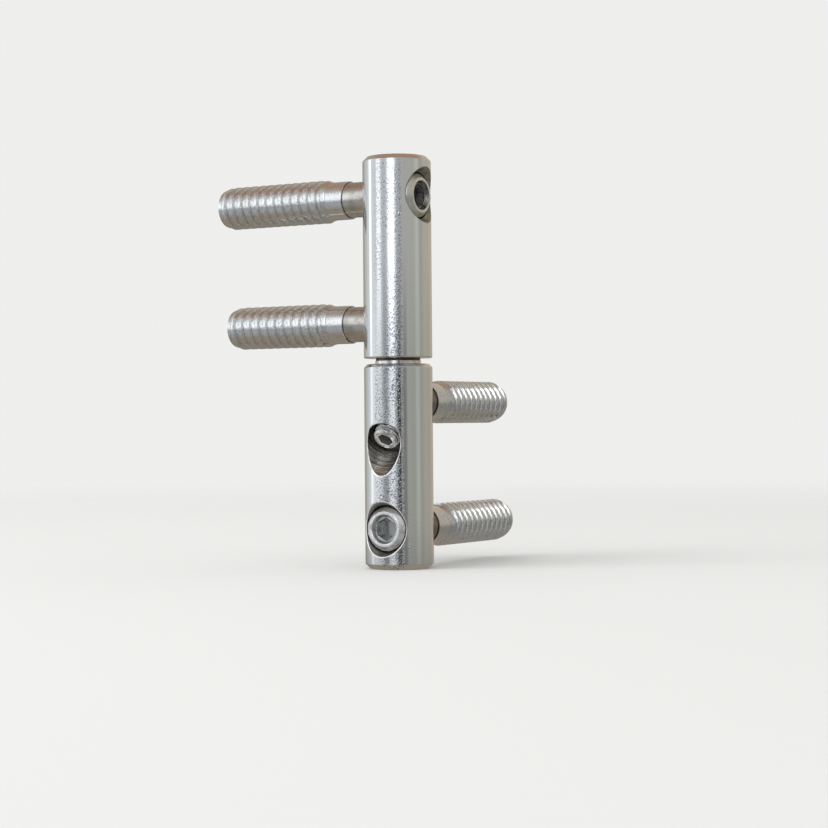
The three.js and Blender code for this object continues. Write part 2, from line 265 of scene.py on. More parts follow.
def rim_cutter(point_on_rim, wall_direction, width, finish, steps=256):
    """A ring of triangular section along a rim on the barrel's side.

    point_on_rim gives the rim's point for an angle, wall_direction the way down the hole's wall.
    The torus only brings the ring's faces: each of its points is then put in its place."""
    bpy.ops.object.select_all(action="DESELECT")
    bpy.ops.mesh.primitive_torus_add(
        major_segments=steps, minor_segments=3, major_radius=5, minor_radius=1)
    cutter = bpy.context.object
    cutter.name = "rim_cutter"
    reach = RIM_REACH * width
    for step in range(steps):
        angle = 2 * math.pi * step / steps
        rim = Vector(point_on_rim(angle))
        along = (Vector(point_on_rim(angle + 0.01)) - Vector(point_on_rim(angle - 0.01))).normalized()
        outward = Vector((rim.x, rim.y, 0)).normalized()
        down_wall = Vector(wall_direction(angle)).normalized()
        away = along.cross(outward).normalized()
        if away.dot(Vector(point_on_rim(angle + math.pi)) - rim) > 0:
            away = -away
        cut_line = (away - down_wall).normalized()
        middle = rim + width * (away + down_wall) / 2
        section = (middle + reach * cut_line, middle - reach * cut_line,
                   rim + reach * (outward - away))
        for corner, place_of_corner in enumerate(section):
            cutter.data.vertices[3 * step + corner].co = place_of_corner
    cutter.data.materials.append(finish)
    select_only(cutter)
    bpy.ops.object.mode_set(mode="EDIT")
    face_outwards()
    return cutter


# %% [markdown]
# ## Finishes
#
# Polished metal has hardly any colour of its own. What tells zinc from bare steel is how sharply
# it reflects, and what is in its surface: the plating is finely speckled, turned steel carries
# the marks of the lathe, and nothing that has been handled is free of small dents. Those effects
# are node groups, built once and placed in each metal with its own values.

# %% A helper for nodes
def new_group(name, inputs, outputs):
    """A shader node group with its input and output nodes. Sockets are (name, type, default)."""
    group = bpy.data.node_groups.new(name, "ShaderNodeTree")
    for socket, kind, default in inputs:
        made = group.interface.new_socket(socket, in_out="INPUT", socket_type=kind)
        if default is not None:
            made.default_value = default
    for socket, kind in outputs:
        group.interface.new_socket(socket, in_out="OUTPUT", socket_type=kind)
    return group, group.nodes.new("NodeGroupInput"), group.nodes.new("NodeGroupOutput")


def add(tree, kind, inputs=None, **settings):
    """A node with its settings, and its inputs set to a value or linked from a socket."""
    node = tree.nodes.new(kind)
    for name, value in settings.items():
        setattr(node, name, value)
    for socket, value in (inputs or {}).items():
        if isinstance(value, bpy.types.NodeSocket):
            tree.links.new(value, node.inputs[socket])
        else:
            node.inputs[socket].default_value = value
    return node


def remap(tree, value, low, high, to_low=0.0, to_high=1.0):
    return add(tree, "ShaderNodeMapRange", {
        "Value": value, "From Min": low, "From Max": high, "To Min": to_low, "To Max": to_high,
    }, interpolation_type="SMOOTHSTEP").outputs["Result"]


def reckon(tree, operation, first, second):
    """The result of a Math node on two values or sockets."""
    return add(tree, "ShaderNodeMath", {0: first, 1: second}, operation=operation).outputs[0]


def mix_colours(tree, factor, first, second):
    """Goes from the first colour to the second. Each is a colour or a socket."""
    mix = add(tree, "ShaderNodeMix", data_type="RGBA")
    tree.links.new(factor, mix.inputs["Factor"])
    for socket, value in (("A", first), ("B", second)):
        if isinstance(value, bpy.types.NodeSocket):
            tree.links.new(value, mix.inputs[socket])
        else:
            mix.inputs[socket].default_value = (*value, 1)
    return mix.outputs["Result"]


# %% [markdown]
# Zinc plating on a barrel is a mirror that has been handled. Flecks of half a millimetre tilt the
# reflection by a few degrees, which shows as white and dark spots wherever something bright ends
# next to something dark. They come in long patches with calm plating between them. The group puts
# out a height for a Bump node, a mask of the patches and the flecks themselves.

# %% Plating speckle
PATCHES_DRAWN_OUT = (1.0, 1.0, 0.25)    # four times as long as they are wide
PATCH_EDGE = (0.36, 0.56)               # of the noise, from between the patches to inside one
BETWEEN_PATCHES = 0.35                  # how much of the flecks is left there
FLECK_EDGE = (0.50, 0.63)


def plating_speckle():
    group, given, result = new_group(
        "plating_speckle",
        [("Vector", "NodeSocketVector", None),
         ("Grain per metre", "NodeSocketFloat", 1500.0),
         ("Patches per metre", "NodeSocketFloat", 160.0),
         ("Calm", "NodeSocketFloat", 0.1),
         ("Worn", "NodeSocketFloat", 1.0)],
        [("Height", "NodeSocketFloat"), ("Patches", "NodeSocketFloat"),
         ("Flecks", "NodeSocketFloat")])
    vector = given.outputs["Vector"]
    grain = add(group, "ShaderNodeTexNoise", {
        "Vector": vector, "Scale": given.outputs["Grain per metre"], "Detail": 2.0, "Roughness": 0.55})
    drawn_out = add(group, "ShaderNodeVectorMath", {0: vector, 1: PATCHES_DRAWN_OUT},
                    operation="MULTIPLY")
    patches = add(group, "ShaderNodeTexNoise", {
        "Vector": drawn_out.outputs[0], "Scale": given.outputs["Patches per metre"],
        "Detail": 3.0, "Distortion": 0.4})
    rough = remap(group, patches.outputs["Fac"], *PATCH_EDGE, BETWEEN_PATCHES, 1.0)
    rough = reckon(group, "MULTIPLY", rough, given.outputs["Worn"])
    rough = reckon(group, "MAXIMUM", rough, given.outputs["Calm"])
    flecks = remap(group, grain.outputs["Fac"], *FLECK_EDGE)
    group.links.new(reckon(group, "MULTIPLY", flecks, rough), result.inputs["Height"])
    group.links.new(rough, result.inputs["Patches"])
    group.links.new(flecks, result.inputs["Flecks"])
    return group


SPECKLE = plating_speckle()

# %% [markdown]
# The side that faces the room is touched, knocked and wiped more than the side against the door,
# and low down more than high up. A scalar product with the direction of that side gives a mask.

# %% The worn side
WORN_SIDE = (0.25, -0.97, 0.0)
WORN_EDGE = (0.89, 0.925)                   # cosine of the angle from its middle to its edge
WORN_BELOW, CALM_ABOVE = 0.056, 0.088       # heights in metres
LEAST_WORN = 0.5
UNWORN_END = (0.1180, 0.1188)               # the wear fades out below the flat top


def worn_side_group():
    group, given, result = new_group(
        "worn_side",
        [("Vector", "NodeSocketVector", None), ("Side", "NodeSocketVector", None)],
        [("Worn", "NodeSocketFloat")])
    flat = add(group, "ShaderNodeVectorMath", {
        0: given.outputs["Vector"], 1: (1.0, 1.0, 0.0)}, operation="MULTIPLY")
    outward = add(group, "ShaderNodeVectorMath", {0: flat.outputs[0]}, operation="NORMALIZE")
    facing = add(group, "ShaderNodeVectorMath", {
        0: outward.outputs[0], 1: given.outputs["Side"]}, operation="DOT_PRODUCT")
    side = remap(group, facing.outputs["Value"], *WORN_EDGE, 0.1, 1.0)
    height = add(group, "ShaderNodeSeparateXYZ", {0: given.outputs["Vector"]})
    low = remap(group, height.outputs["Z"], WORN_BELOW, CALM_ABOVE, 1.0, LEAST_WORN)
    end = remap(group, height.outputs["Z"], *UNWORN_END, 1.0, 0.0)
    worn = reckon(group, "MULTIPLY", reckon(group, "MULTIPLY", side, low), end)
    group.links.new(worn, result.inputs["Worn"])
    return group


WORN = worn_side_group()
print("groups:", [group.name for group in bpy.data.node_groups])

# %% [markdown]
# Something hard has struck the barrels here and there. A dent is a small bowl with a raised rim,
# and its height needs only the distance from its centre: down inside, up at the rim, flat beyond.

# %% Dents
DENT_DEPTH = 0.09
DENT_RIM, DENT_END = 0.8, 1.3           # in radii of the dent
DENT_RIM_HEIGHT = 0.35                  # in depths
# Centre and radius of each, in millimetres.
DENTS = [((0.1, -10.0, 21.3), 0.75), ((7.5, -6.6, 6.9), 0.6), ((6.0, -8.0, 102.7), 0.45),
         ((-6.4, -7.7, 74.0), 0.6), ((9.3, 3.7, 33.0), 0.7), ((-8.8, 4.8, 90.0), 0.6)]


def dent_group():
    group, given, result = new_group(
        "dent",
        [("Vector", "NodeSocketVector", None),
         ("Centre", "NodeSocketVector", None),
         ("Radius", "NodeSocketFloat", 0.0005)],
        [("Height", "NodeSocketFloat")])
    away = add(group, "ShaderNodeVectorMath", {
        0: given.outputs["Vector"], 1: given.outputs["Centre"]}, operation="DISTANCE")
    share = reckon(group, "DIVIDE", away.outputs["Value"], given.outputs["Radius"])
    bowl = remap(group, share, 0.0, DENT_RIM, -1.0, DENT_RIM_HEIGHT)
    fade = remap(group, share, DENT_RIM, DENT_END, 1.0, 0.0)
    group.links.new(reckon(group, "MULTIPLY", bowl, fade), result.inputs["Height"])
    return group


DENT = dent_group()

# %% [markdown]
# The marks of a lathe or a drill run round the axis of the work, so they change fast along it and
# hardly at all around it. A noise texture that is squeezed along one axis does that, and it is
# less regular than a wave would be. The group expects the work's axis as Z.

# %% Turning marks
def turning_marks():
    group, given, result = new_group(
        "turning_marks",
        [("Vector", "NodeSocketVector", None),
         ("Marks per metre", "NodeSocketFloat", 5000.0),
         ("Around per metre", "NodeSocketFloat", 90.0)],
        [("Height", "NodeSocketFloat"), ("Stain", "NodeSocketFloat")])
    squeeze = add(group, "ShaderNodeCombineXYZ", {
        "X": given.outputs["Around per metre"], "Y": given.outputs["Around per metre"],
        "Z": given.outputs["Marks per metre"]})
    stretched = add(group, "ShaderNodeVectorMath", {
        0: given.outputs["Vector"], 1: squeeze.outputs[0]}, operation="MULTIPLY")
    marks = add(group, "ShaderNodeTexNoise", {
        "Vector": stretched.outputs[0], "Scale": 1.0, "Detail": 2.0, "Roughness": 0.6})
    stain = add(group, "ShaderNodeTexNoise", {
        "Vector": given.outputs["Vector"], "Scale": 330.0, "Detail": 4.0, "Roughness": 0.65})
    group.links.new(marks.outputs["Fac"], result.inputs["Height"])
    group.links.new(stain.outputs["Fac"], result.inputs["Stain"])
    return group


MARKS = turning_marks()

# %% [markdown]
# A finish is a Principled BSDF with the groups in front of it. One function makes the plated
# metals and another the turned ones. The numbers that differ from metal to metal are arguments, so
# the values of two finishes can be compared at a glance.

# %% Metals
BARED = (0.1, 0.75)             # over which the flecks in a patch show the steel under the zinc
STAIN_EDGE = (0.40, 0.68)
MARKS_SOONER = 0.08             # tool marks vary less than stains, so their edge comes sooner
NOISE_SPAN = (0.3, 0.7)         # nearly all of a noise texture lies between these


def start_material(name, metallic=1.0):
    material = bpy.data.materials.new(name)
    material.use_nodes = True
    tree = material.node_tree
    shader = tree.nodes["Principled BSDF"]
    shader.inputs["Metallic"].default_value = metallic
    return material, tree, shader


def object_vector(tree, rotation=(0, 0, 0), location=(0, 0, 0)):
    where = add(tree, "ShaderNodeTexCoord")
    mapping = add(tree, "ShaderNodeMapping", {
        "Vector": where.outputs["Object"], "Rotation": rotation, "Location": location})
    return mapping.outputs["Vector"]


def plated(name, light, dark, roughness, grain_height, grain=1500.0, patches=160.0, calm=0.1,
           worn_side=None, dents=()):
    material, tree, shader = start_material(name)
    vector = object_vector(tree)
    speckle = add(tree, "ShaderNodeGroup", node_tree=SPECKLE)
    for socket, value in (("Grain per metre", grain), ("Patches per metre", patches), ("Calm", calm)):
        speckle.inputs[socket].default_value = value
    tree.links.new(vector, speckle.inputs["Vector"])
    if worn_side:
        worn = add(tree, "ShaderNodeGroup", node_tree=WORN)
        worn.inputs["Side"].default_value = worn_side
        tree.links.new(vector, worn.inputs["Vector"])
        tree.links.new(worn.outputs["Worn"], speckle.inputs["Worn"])
    bared = remap(tree, speckle.outputs["Patches"], *BARED)
    fleck = reckon(tree, "MULTIPLY", speckle.outputs["Flecks"], bared)
    tree.links.new(mix_colours(tree, fleck, light, dark), shader.inputs["Base Color"])
    low, high = roughness
    rough = remap(tree, speckle.outputs["Patches"], 0.1, 1.0, low, high)
    tree.links.new(rough, shader.inputs["Roughness"])
    bump = add(tree, "ShaderNodeBump", {
        "Height": speckle.outputs["Height"], "Strength": 1.0, "Distance": grain_height * MM})
    for place_of_dent, radius in dents:
        dent = add(tree, "ShaderNodeGroup", node_tree=DENT)
        dent.inputs["Centre"].default_value = [x * MM for x in place_of_dent]
        dent.inputs["Radius"].default_value = radius * MM
        tree.links.new(vector, dent.inputs["Vector"])
        bump = add(tree, "ShaderNodeBump", {
            "Height": dent.outputs["Height"], "Strength": 1.0, "Distance": DENT_DEPTH * MM,
            "Normal": bump.outputs["Normal"]})
    tree.links.new(bump.outputs["Normal"], shader.inputs["Normal"])
    return material


def turned_metal(name, light, dark, roughness, mark_height, rotation=(0, 0, 0), marks=5000.0,
                 around=90.0, metallic=1.0, marked=0.0):
    material, tree, shader = start_material(name, metallic)
    group = add(tree, "ShaderNodeGroup", node_tree=MARKS)
    group.inputs["Marks per metre"].default_value = marks
    group.inputs["Around per metre"].default_value = around
    tree.links.new(object_vector(tree, rotation), group.inputs["Vector"])
    stain = add(tree, "ShaderNodeMix", {
        "Factor": marked, "A": group.outputs["Stain"], "B": group.outputs["Height"]}).outputs["Result"]
    stain = remap(tree, stain, STAIN_EDGE[0], STAIN_EDGE[1] - MARKS_SOONER * marked)
    tree.links.new(mix_colours(tree, stain, light, dark), shader.inputs["Base Color"])
    low, high = roughness
    tree.links.new(remap(tree, group.outputs["Stain"], *NOISE_SPAN, low, high),
                   shader.inputs["Roughness"])
    bump = add(tree, "ShaderNodeBump", {
        "Height": group.outputs["Height"], "Strength": 1.0, "Distance": mark_height * MM})
    tree.links.new(bump.outputs["Normal"], shader.inputs["Normal"])
    return material


# Rotations that turn an axis of the hinge into the Z that the marks run along.
FROM_Y = (math.pi / 2, 0, 0)
FROM_X = (0, math.pi / 2, 0)
FROM_TILTED = (math.pi / 4, 0, 0)

ZINC = plated("barrel_zinc", (0.84, 0.85, 0.845), (0.31, 0.345, 0.42), (0.02, 0.06), 0.022, grain=2000,
              calm=0.02, worn_side=WORN_SIDE, dents=DENTS)
DRILLED_Y = turned_metal("drilled_wall_y", (0.34, 0.32, 0.29), (0.12, 0.11, 0.10), (0.24, 0.40), 0.08, FROM_Y,
                         marks=2000, marked=0.5)
DRILLED_X = turned_metal("drilled_wall_x", (0.50, 0.51, 0.45), (0.27, 0.28, 0.24), (0.24, 0.40), 0.05, FROM_X,
                         marks=2000, marked=0.25)
DRILLED_TILTED = turned_metal("drilled_wall_tilted", (0.76, 0.73, 0.69), (0.30, 0.29, 0.27),
                              (0.22, 0.38), 0.13, FROM_TILTED, marks=1700, around=60, marked=0.75)
# The threaded hole's walls are near-black steel: painted shade, for the little light that gets into the hole.
HOLE_IN_PAINTED_SHADE = turned_metal("threaded_hole_painted_shade", (0.10, 0.10, 0.09), (0.04, 0.04, 0.04), (0.35, 0.5), 0.01,
                         FROM_TILTED)
BORED = turned_metal("bored_wall", (0.50, 0.50, 0.48), (0.32, 0.31, 0.29), (0.28, 0.42), 0.006)
SCREW_Y = turned_metal("screw_steel_y", (0.95, 0.96, 0.96), (0.60, 0.60, 0.61), (0.12, 0.24), 0.04, FROM_Y,
                       marks=1600, around=1600, metallic=0.8)
SCREW_X = turned_metal("screw_steel_x", (0.90, 0.91, 0.86), (0.72, 0.73, 0.69), (0.28, 0.40), 0.012, FROM_X,
                       marks=1600, around=1600)
SCREW_TILTED = turned_metal("screw_steel_tilted", (0.97, 0.97, 0.96), (0.42, 0.42, 0.41), (0.06, 0.2), 0.06,
                            FROM_TILTED, marks=1400, around=1400, metallic=0.75)
# Rim chamfers: bare steel at the edge, in a near-white, half-matt colour that is a painted highlight all
# round the rim.
BARE_EDGE_AND_HIGHLIGHT = turned_metal("bare_edge_and_painted_highlight", (0.97, 0.97, 0.96), (0.55, 0.55, 0.54), (0.2, 0.4), 0.01, metallic=0.4)
DISH = turned_metal("forged_dish", (0.66, 0.67, 0.67), (0.32, 0.33, 0.33), (0.22, 0.40), 0.06,
                    marks=1500, around=1500, metallic=0.9)
DISH_OILED = turned_metal("oiled_dish", (0.34, 0.33, 0.32), (0.02, 0.02, 0.02), (0.06, 0.3), 0.16,
                          marks=1500, around=1500)
SOCKET = turned_metal("socket_steel", (0.56, 0.59, 0.59), (0.30, 0.32, 0.32), (0.24, 0.40), 0.03,
                      marks=1200, around=1200)
# A socket's floor in near-white, almost matt steel: painted light, where the floor would catch light.
SOCKET_FLOOR_PAINTED_LIGHT = turned_metal("socket_floor", (1.0, 1.0, 1.0), (0.85, 0.87, 0.87), (0.4, 0.6), 0.03,
                            marks=1500, around=1500, metallic=0.1)
# Deep sockets are nearly black: partly blotches of oil, partly painted shade.
SOCKET_OIL_AND_SHADE = turned_metal("socket_oil_and_painted_shade", (0.30, 0.30, 0.305), (0.03, 0.03, 0.03), (0.15, 0.5), 0.06,
                           marks=1500, around=1500, metallic=0.4)
# The frame's pins are the same steel as the leaf's, painted dark brown: painted shade and a painted
# reflection of wood round them.
PIN_Y_PAINTED_SHADE = turned_metal("pin_steel_y_painted_shade", (0.34, 0.285, 0.225), (0.24, 0.195, 0.15), (0.24, 0.34), 0.005, FROM_Y)
PIN_X = turned_metal("pin_steel_x", (0.68, 0.65, 0.61), (0.50, 0.47, 0.43), (0.18, 0.30), 0.005, FROM_X)
PIN_Z = turned_metal("pin_steel_z", (0.86, 0.86, 0.85), (0.66, 0.66, 0.64), (0.12, 0.22), 0.004)
SLEEVE = plated("sleeve_zinc", (0.82, 0.83, 0.825), (0.66, 0.67, 0.68), (0.12, 0.20), 0.002, grain=1800)
SPRING = turned_metal("spring_steel", (0.27, 0.28, 0.30), (0.14, 0.14, 0.15), (0.3, 0.45), 0.004,
                      marks=1500, around=1500)
# Bronze darkened almost to black: painted shade, for the washer in the dark gap between the barrels.
BRONZE_PAINTED_SHADE = turned_metal("bearing_bronze_painted_shade", (0.17, 0.125, 0.075), (0.08, 0.058, 0.036), (0.35, 0.5), 0.004)
print("metals:", len(bpy.data.materials))

# %% [markdown]
# The bush in the leaf's barrel is moulded from a dark bearing plastic. One noise texture is enough
# for it: a faint cloud in its colour, and a grain that keeps its gloss from looking like glass.
# `wear` then dresses every finished piece in its materials.

# %% The bush's plastic
PLASTIC_GRAIN = 0.004


def bearing_plastic():
    material, tree, shader = start_material("bush_polymer", metallic=0.0)
    cloud = add(tree, "ShaderNodeTexNoise", {"Vector": object_vector(tree), "Scale": 1800.0, "Detail": 3.0})
    shade = remap(tree, cloud.outputs["Fac"], 0.35, 0.7)
    tree.links.new(mix_colours(tree, shade, (0.022, 0.024, 0.027), (0.05, 0.053, 0.058)),
                   shader.inputs["Base Color"])
    tree.links.new(remap(tree, cloud.outputs["Fac"], *NOISE_SPAN, 0.42, 0.58),
                   shader.inputs["Roughness"])
    bump = add(tree, "ShaderNodeBump", {
        "Height": cloud.outputs["Fac"], "Strength": 1.0, "Distance": PLASTIC_GRAIN * MM})
    tree.links.new(bump.outputs["Normal"], shader.inputs["Normal"])
    return material


PLASTIC = bearing_plastic()


def wear(piece, slot, body, node, *materials):
    """Gives a finished piece its materials, hangs it on the body that it rides on and hides the frame's part
    that it replaces.
    """
    for material in materials:
        if material.name not in piece.data.materials:
            piece.data.materials.append(material)
    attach(piece, body)
    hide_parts(node)
    print(f"{piece.name}: {len(piece.data.polygons)} faces")
    return piece


# %% [markdown]
# ## The barrels
#
# Both barrels are the same bar of steel, and each is modelled standing on its outer end with its
# pins along +Y. The outer edge has a wide chamfer and the inner one a narrow one. The leaf's
# barrel is then turned over and a quarter round, as it is on the door.

# %% The blank
OUTER_CHAMFER = 1.4
INNER_CHAMFER = {"frame_barrel_turned": 1.0, "leaf_barrel_turned": 0.3}
BROKEN_EDGE = 0.12
BARREL_SIDES = 384
BARREL_SMOOTH = 14           # degrees, less than the turn at a chamfer or at a rim

to_leaf = (Matrix.Translation((0, 0, upper_top))
           @ Matrix.Rotation(math.pi / 2, 4, "Z")
           @ Matrix.Rotation(math.pi, 4, "Y"))


def select_rim(piece, height):
    """Selects the ring of edges at that height, in edit mode."""
    bpy.ops.object.mode_set(mode="EDIT")
    bpy.ops.mesh.select_mode(type="EDGE")
    bpy.ops.mesh.select_all(action="DESELECT")
    bpy.ops.object.mode_set(mode="OBJECT")
    points = piece.data.vertices
    for edge in piece.data.edges:
        edge.select = all(abs(points[v].co.z - height) < 0.01 for v in edge.vertices)
    bpy.ops.object.mode_set(mode="EDIT")


def barrel_blank(name, length):
    bpy.ops.object.select_all(action="DESELECT")
    bpy.ops.mesh.primitive_cylinder_add(
        vertices=BARREL_SIDES, radius=barrel_radius, depth=length, location=(0, 0, length / 2))
    blank = bpy.context.object
    blank.name = blank.data.name = name
    bpy.ops.object.transform_apply(location=True)
    for height, chamfer in ((0, OUTER_CHAMFER), (length, INNER_CHAMFER[name])):
        select_rim(blank, height)
        bpy.ops.mesh.bevel(offset=chamfer, segments=1, affect="EDGES")
        bpy.ops.object.mode_set(mode="OBJECT")
    break_edges(blank, BROKEN_EDGE, 3)
    blank.data.materials.append(ZINC)
    return blank


# %% [markdown]
# The stepped hole of the adjusting screw goes right across the barrel. Its pocket is conical at
# the mouth, then straight, then comes the seat of the head, the bore of the shank and the groove
# of the snap ring. The cutter is turned like the screw itself.

# %% The adjusting screw's hole
POCKET_MOUTH_RADIUS = 8.0
POCKET_RADIUS = 6.8
POCKET_TAPER_DEPTH = 2.8
POCKET_FLOOR = -3.5          # along the pin, from the pivot axis
SHANK_BORE_RADIUS = 5.35
GROOVE_RADIUS = 6.05
GROOVE = (2.8, 4.3)
RIM_CHAMFER = 0.25
BACK_RIM_CHAMFER = 0.2       # where the pins leave the barrel

screw_height = cross_pin("frame_adjusting_screw", "frame")[0]
pocket_taper = (POCKET_MOUTH_RADIUS - POCKET_RADIUS) / POCKET_TAPER_DEPTH


def adjuster_hole_cutter(wall):
    outside = barrel_radius + OVERCUT
    cutter = lathe("adjuster_hole_cutter", [
        (0, -outside),
        (POCKET_MOUTH_RADIUS + pocket_taper, -outside),
        (POCKET_RADIUS, POCKET_TAPER_DEPTH - barrel_radius),
        (POCKET_RADIUS, POCKET_FLOOR),
        (SHANK_BORE_RADIUS, POCKET_FLOOR),
        (SHANK_BORE_RADIUS, GROOVE[0]),
        (GROOVE_RADIUS, GROOVE[0]),
        (GROOVE_RADIUS, GROOVE[1]),
        (SHANK_BORE_RADIUS, GROOVE[1]),
        (SHANK_BORE_RADIUS, outside),
        (0, outside),
    ], wall, steps=192, edge=0)
    cutter.data.transform(Matrix.Translation((0, 0, screw_height)) @ ALONG_Y)
    return cutter


def pocket_radius_at(y):
    return POCKET_RADIUS + pocket_taper * max(0.0, POCKET_TAPER_DEPTH - barrel_radius - y)


def on_barrel(x, side=-1):
    return side * math.sqrt(max(0.0, barrel_radius ** 2 - x ** 2))


def adjuster_rim(angle):
    """The point where the pocket's wall meets the barrel's side."""
    y = -barrel_radius
    for _ in range(12):
        y = on_barrel(pocket_radius_at(y) * math.cos(angle))
    radius = pocket_radius_at(y)
    return radius * math.cos(angle), y, screw_height + radius * math.sin(angle)


def adjuster_wall(angle):
    in_taper = adjuster_rim(angle)[1] < POCKET_TAPER_DEPTH - barrel_radius
    narrowing = -pocket_taper if in_taper else 0.0
    return narrowing * math.cos(angle), 1.0, narrowing * math.sin(angle)


# %% [markdown]
# The outer end of that hole and the guide pin's hole are plain circles across the barrel, so
# their rims need only one radius. The height screw's pocket is drilled at 45 degrees, which makes
# its mouth egg-shaped: pointed below, where the drill leaves the steel at a flat angle.

# %% The other holes
GUIDE_HOLE_RADIUS = 5.25
PIVOT_BORE_RADIUS = 4.1
BUSH_BORE_RADIUS = 5.0
BORE_MOUTH_CHAMFER = 0.4
HEIGHT_POCKET_RADIUS = 5.6
HEIGHT_POCKET_DEPTH = 5.2     # at its wall
DRILL_SLOPE = math.tan(math.radians(31))
HEIGHT_HOLE_RADIUS = 4.05
HEIGHT_SINK_RADIUS = 4.6
HEIGHT_SINK_END = 7.4         # the hole is wider down to here, in front of its thread
HEIGHT_SINK_STEP = 0.5
HEIGHT_HOLE_LENGTH = 9        # from the pocket's floor at its wall
GUIDE_HOLE_ROOM = 0.05        # behind the guide pin's inner end

guide_height = cross_pin("frame_guide_pin", "frame")[0]
guide_start = cross_pin("frame_guide_pin", "frame")[2]

# The height screw's box is symmetric about the screw's middle, which gives its axis.
low, high = box_mm("height_set_screw")
screw_middle = (low + high) / 2
TILT = math.radians(45)
advance = Vector((0, math.cos(TILT), math.sin(TILT)))
to_surface = (screw_middle.y + barrel_radius) / math.cos(TILT)
height_mouth = screw_middle - to_surface * advance
along_height_screw = (Matrix.Translation(height_mouth)
                      @ Matrix.Rotation(TILT - math.pi / 2, 4, "X"))
print(f"height screw leaves the barrel {height_mouth.z:.1f} mm above its foot")


def cross_hole_rim(radius, height):
    return lambda angle: (radius * math.cos(angle), on_barrel(radius * math.cos(angle), 1),
                          height + radius * math.sin(angle))


def depth_on_barrel(radius, angle):
    """Depth along the tilted axis of the barrel's surface, at a radius and an angle round it."""
    y = on_barrel(radius * math.cos(angle))
    return (y + barrel_radius + radius * math.sin(angle) * math.sin(TILT)) / math.cos(TILT)


def pocket_floor_depth(radius):
    return HEIGHT_POCKET_DEPTH + (HEIGHT_POCKET_RADIUS - radius) * DRILL_SLOPE


def height_mouth_radius(angle):
    """The mouth lies on the pocket's wall, but at the top it runs into the conical floor."""
    radius, step = HEIGHT_POCKET_RADIUS, HEIGHT_POCKET_RADIUS / 2
    if depth_on_barrel(radius, angle) <= pocket_floor_depth(radius):
        return radius
    for _ in range(24):
        beyond = depth_on_barrel(radius, angle) > pocket_floor_depth(radius)
        radius += -step if beyond else step
        step /= 2
    return radius


def height_pocket_rim(angle):
    radius = height_mouth_radius(angle)
    across = radius * math.sin(angle)
    depth = depth_on_barrel(radius, angle)
    return (radius * math.cos(angle), on_barrel(radius * math.cos(angle)),
            height_mouth.z + depth * math.sin(TILT) + across * math.cos(TILT))


def plain_cutter(name, radius, start, end, matrix, wall):
    cutter = lathe(name, [(0, start), (radius, start), (radius, end), (0, end)], wall, edge=0)
    cutter.data.transform(matrix)
    return cutter


# %% [markdown]
# The height screw's pocket takes three cuts, and they follow the order of the work: the pocket,
# the hole for the screw and the chamfer along the rim. The pocket's conical floor gets the
# near-black painted shade of the threaded hole, because hardly any light comes down to it.

# %% The height screw's pocket
def cut_height_pocket(piece, edge):
    mouth = lathe("height_pocket_cutter", [
        (0, -2 * barrel_radius),
        (HEIGHT_POCKET_RADIUS, -2 * barrel_radius),
        (HEIGHT_POCKET_RADIUS, HEIGHT_POCKET_DEPTH),
        (0, pocket_floor_depth(0)),
    ], DRILLED_TILTED, HOLE_IN_PAINTED_SHADE, steps=192, edge=0)
    for face in mouth.data.polygons:
        face.material_index = int(face.center.z > HEIGHT_POCKET_DEPTH)
    mouth.data.transform(along_height_screw)
    cut(piece, mouth)
    hole_end = HEIGHT_POCKET_DEPTH + HEIGHT_HOLE_LENGTH
    hole = lathe("height_hole_cutter", [
        (0, 0),
        (HEIGHT_SINK_RADIUS, 0),
        (HEIGHT_SINK_RADIUS, HEIGHT_SINK_END - HEIGHT_SINK_STEP),
        (HEIGHT_HOLE_RADIUS, HEIGHT_SINK_END),
        (HEIGHT_HOLE_RADIUS, hole_end),
        (0, hole_end),
    ], HOLE_IN_PAINTED_SHADE, edge=0)
    hole.data.transform(along_height_screw)
    cut(piece, hole)
    cut(piece, rim_cutter(height_pocket_rim, lambda angle: advance, RIM_CHAMFER, edge))


# %% [markdown]
# Both barrels then get their pivot bore, their stepped hole and the hole of their guide pin, with
# a chamfer along each rim. The lower barrel's bore stops just below the pivot pin's foot, the
# upper one's just behind its bush.

# %% Cutting both barrels
def barrel(name, length, bore_radius, bore_floor, wall, edge):
    piece = barrel_blank(name, length)
    cut(piece, lathe("pivot_bore_cutter", [
        (0, bore_floor),
        (bore_radius, bore_floor),
        (bore_radius, length - BORE_MOUTH_CHAMFER),
        (bore_radius + BORE_MOUTH_CHAMFER + OVERCUT, length + OVERCUT),
        (0, length + OVERCUT),
    ], BORED, edge=0))
    cut(piece, adjuster_hole_cutter(wall))
    across = Matrix.Translation((0, 0, guide_height)) @ ALONG_Y
    cut(piece, plain_cutter("guide_hole_cutter", GUIDE_HOLE_RADIUS, guide_start - GUIDE_HOLE_ROOM,
                            barrel_radius + OVERCUT, across, wall))
    if name == "frame_barrel_turned":
        cut_height_pocket(piece, edge)
    cut(piece, rim_cutter(adjuster_rim, adjuster_wall, RIM_CHAMFER, edge))
    for radius, height in ((SHANK_BORE_RADIUS, screw_height), (GUIDE_HOLE_RADIUS, guide_height)):
        cut(piece, rim_cutter(cross_hole_rim(radius, height), lambda angle: (0, -1, 0),
                              BACK_RIM_CHAMFER, edge))
    return smooth(piece, BARREL_SMOOTH)


lower_length = lower_top - foot
pivot_foot = box_mm("pivot_pin")[0].z
BORE_END_ROOM, BUSH_END_ROOM = 0.5, 1
# The frame barrel's rims carry the painted highlight of the bare edge.
frame_barrel = barrel("frame_barrel_turned", lower_length, PIVOT_BORE_RADIUS,
                      pivot_foot - BORE_END_ROOM, DRILLED_Y, BARE_EDGE_AND_HIGHLIGHT)
place(frame_barrel)
wear(frame_barrel, "barrel_zinc", "frame_part", "frame_barrel", ZINC)

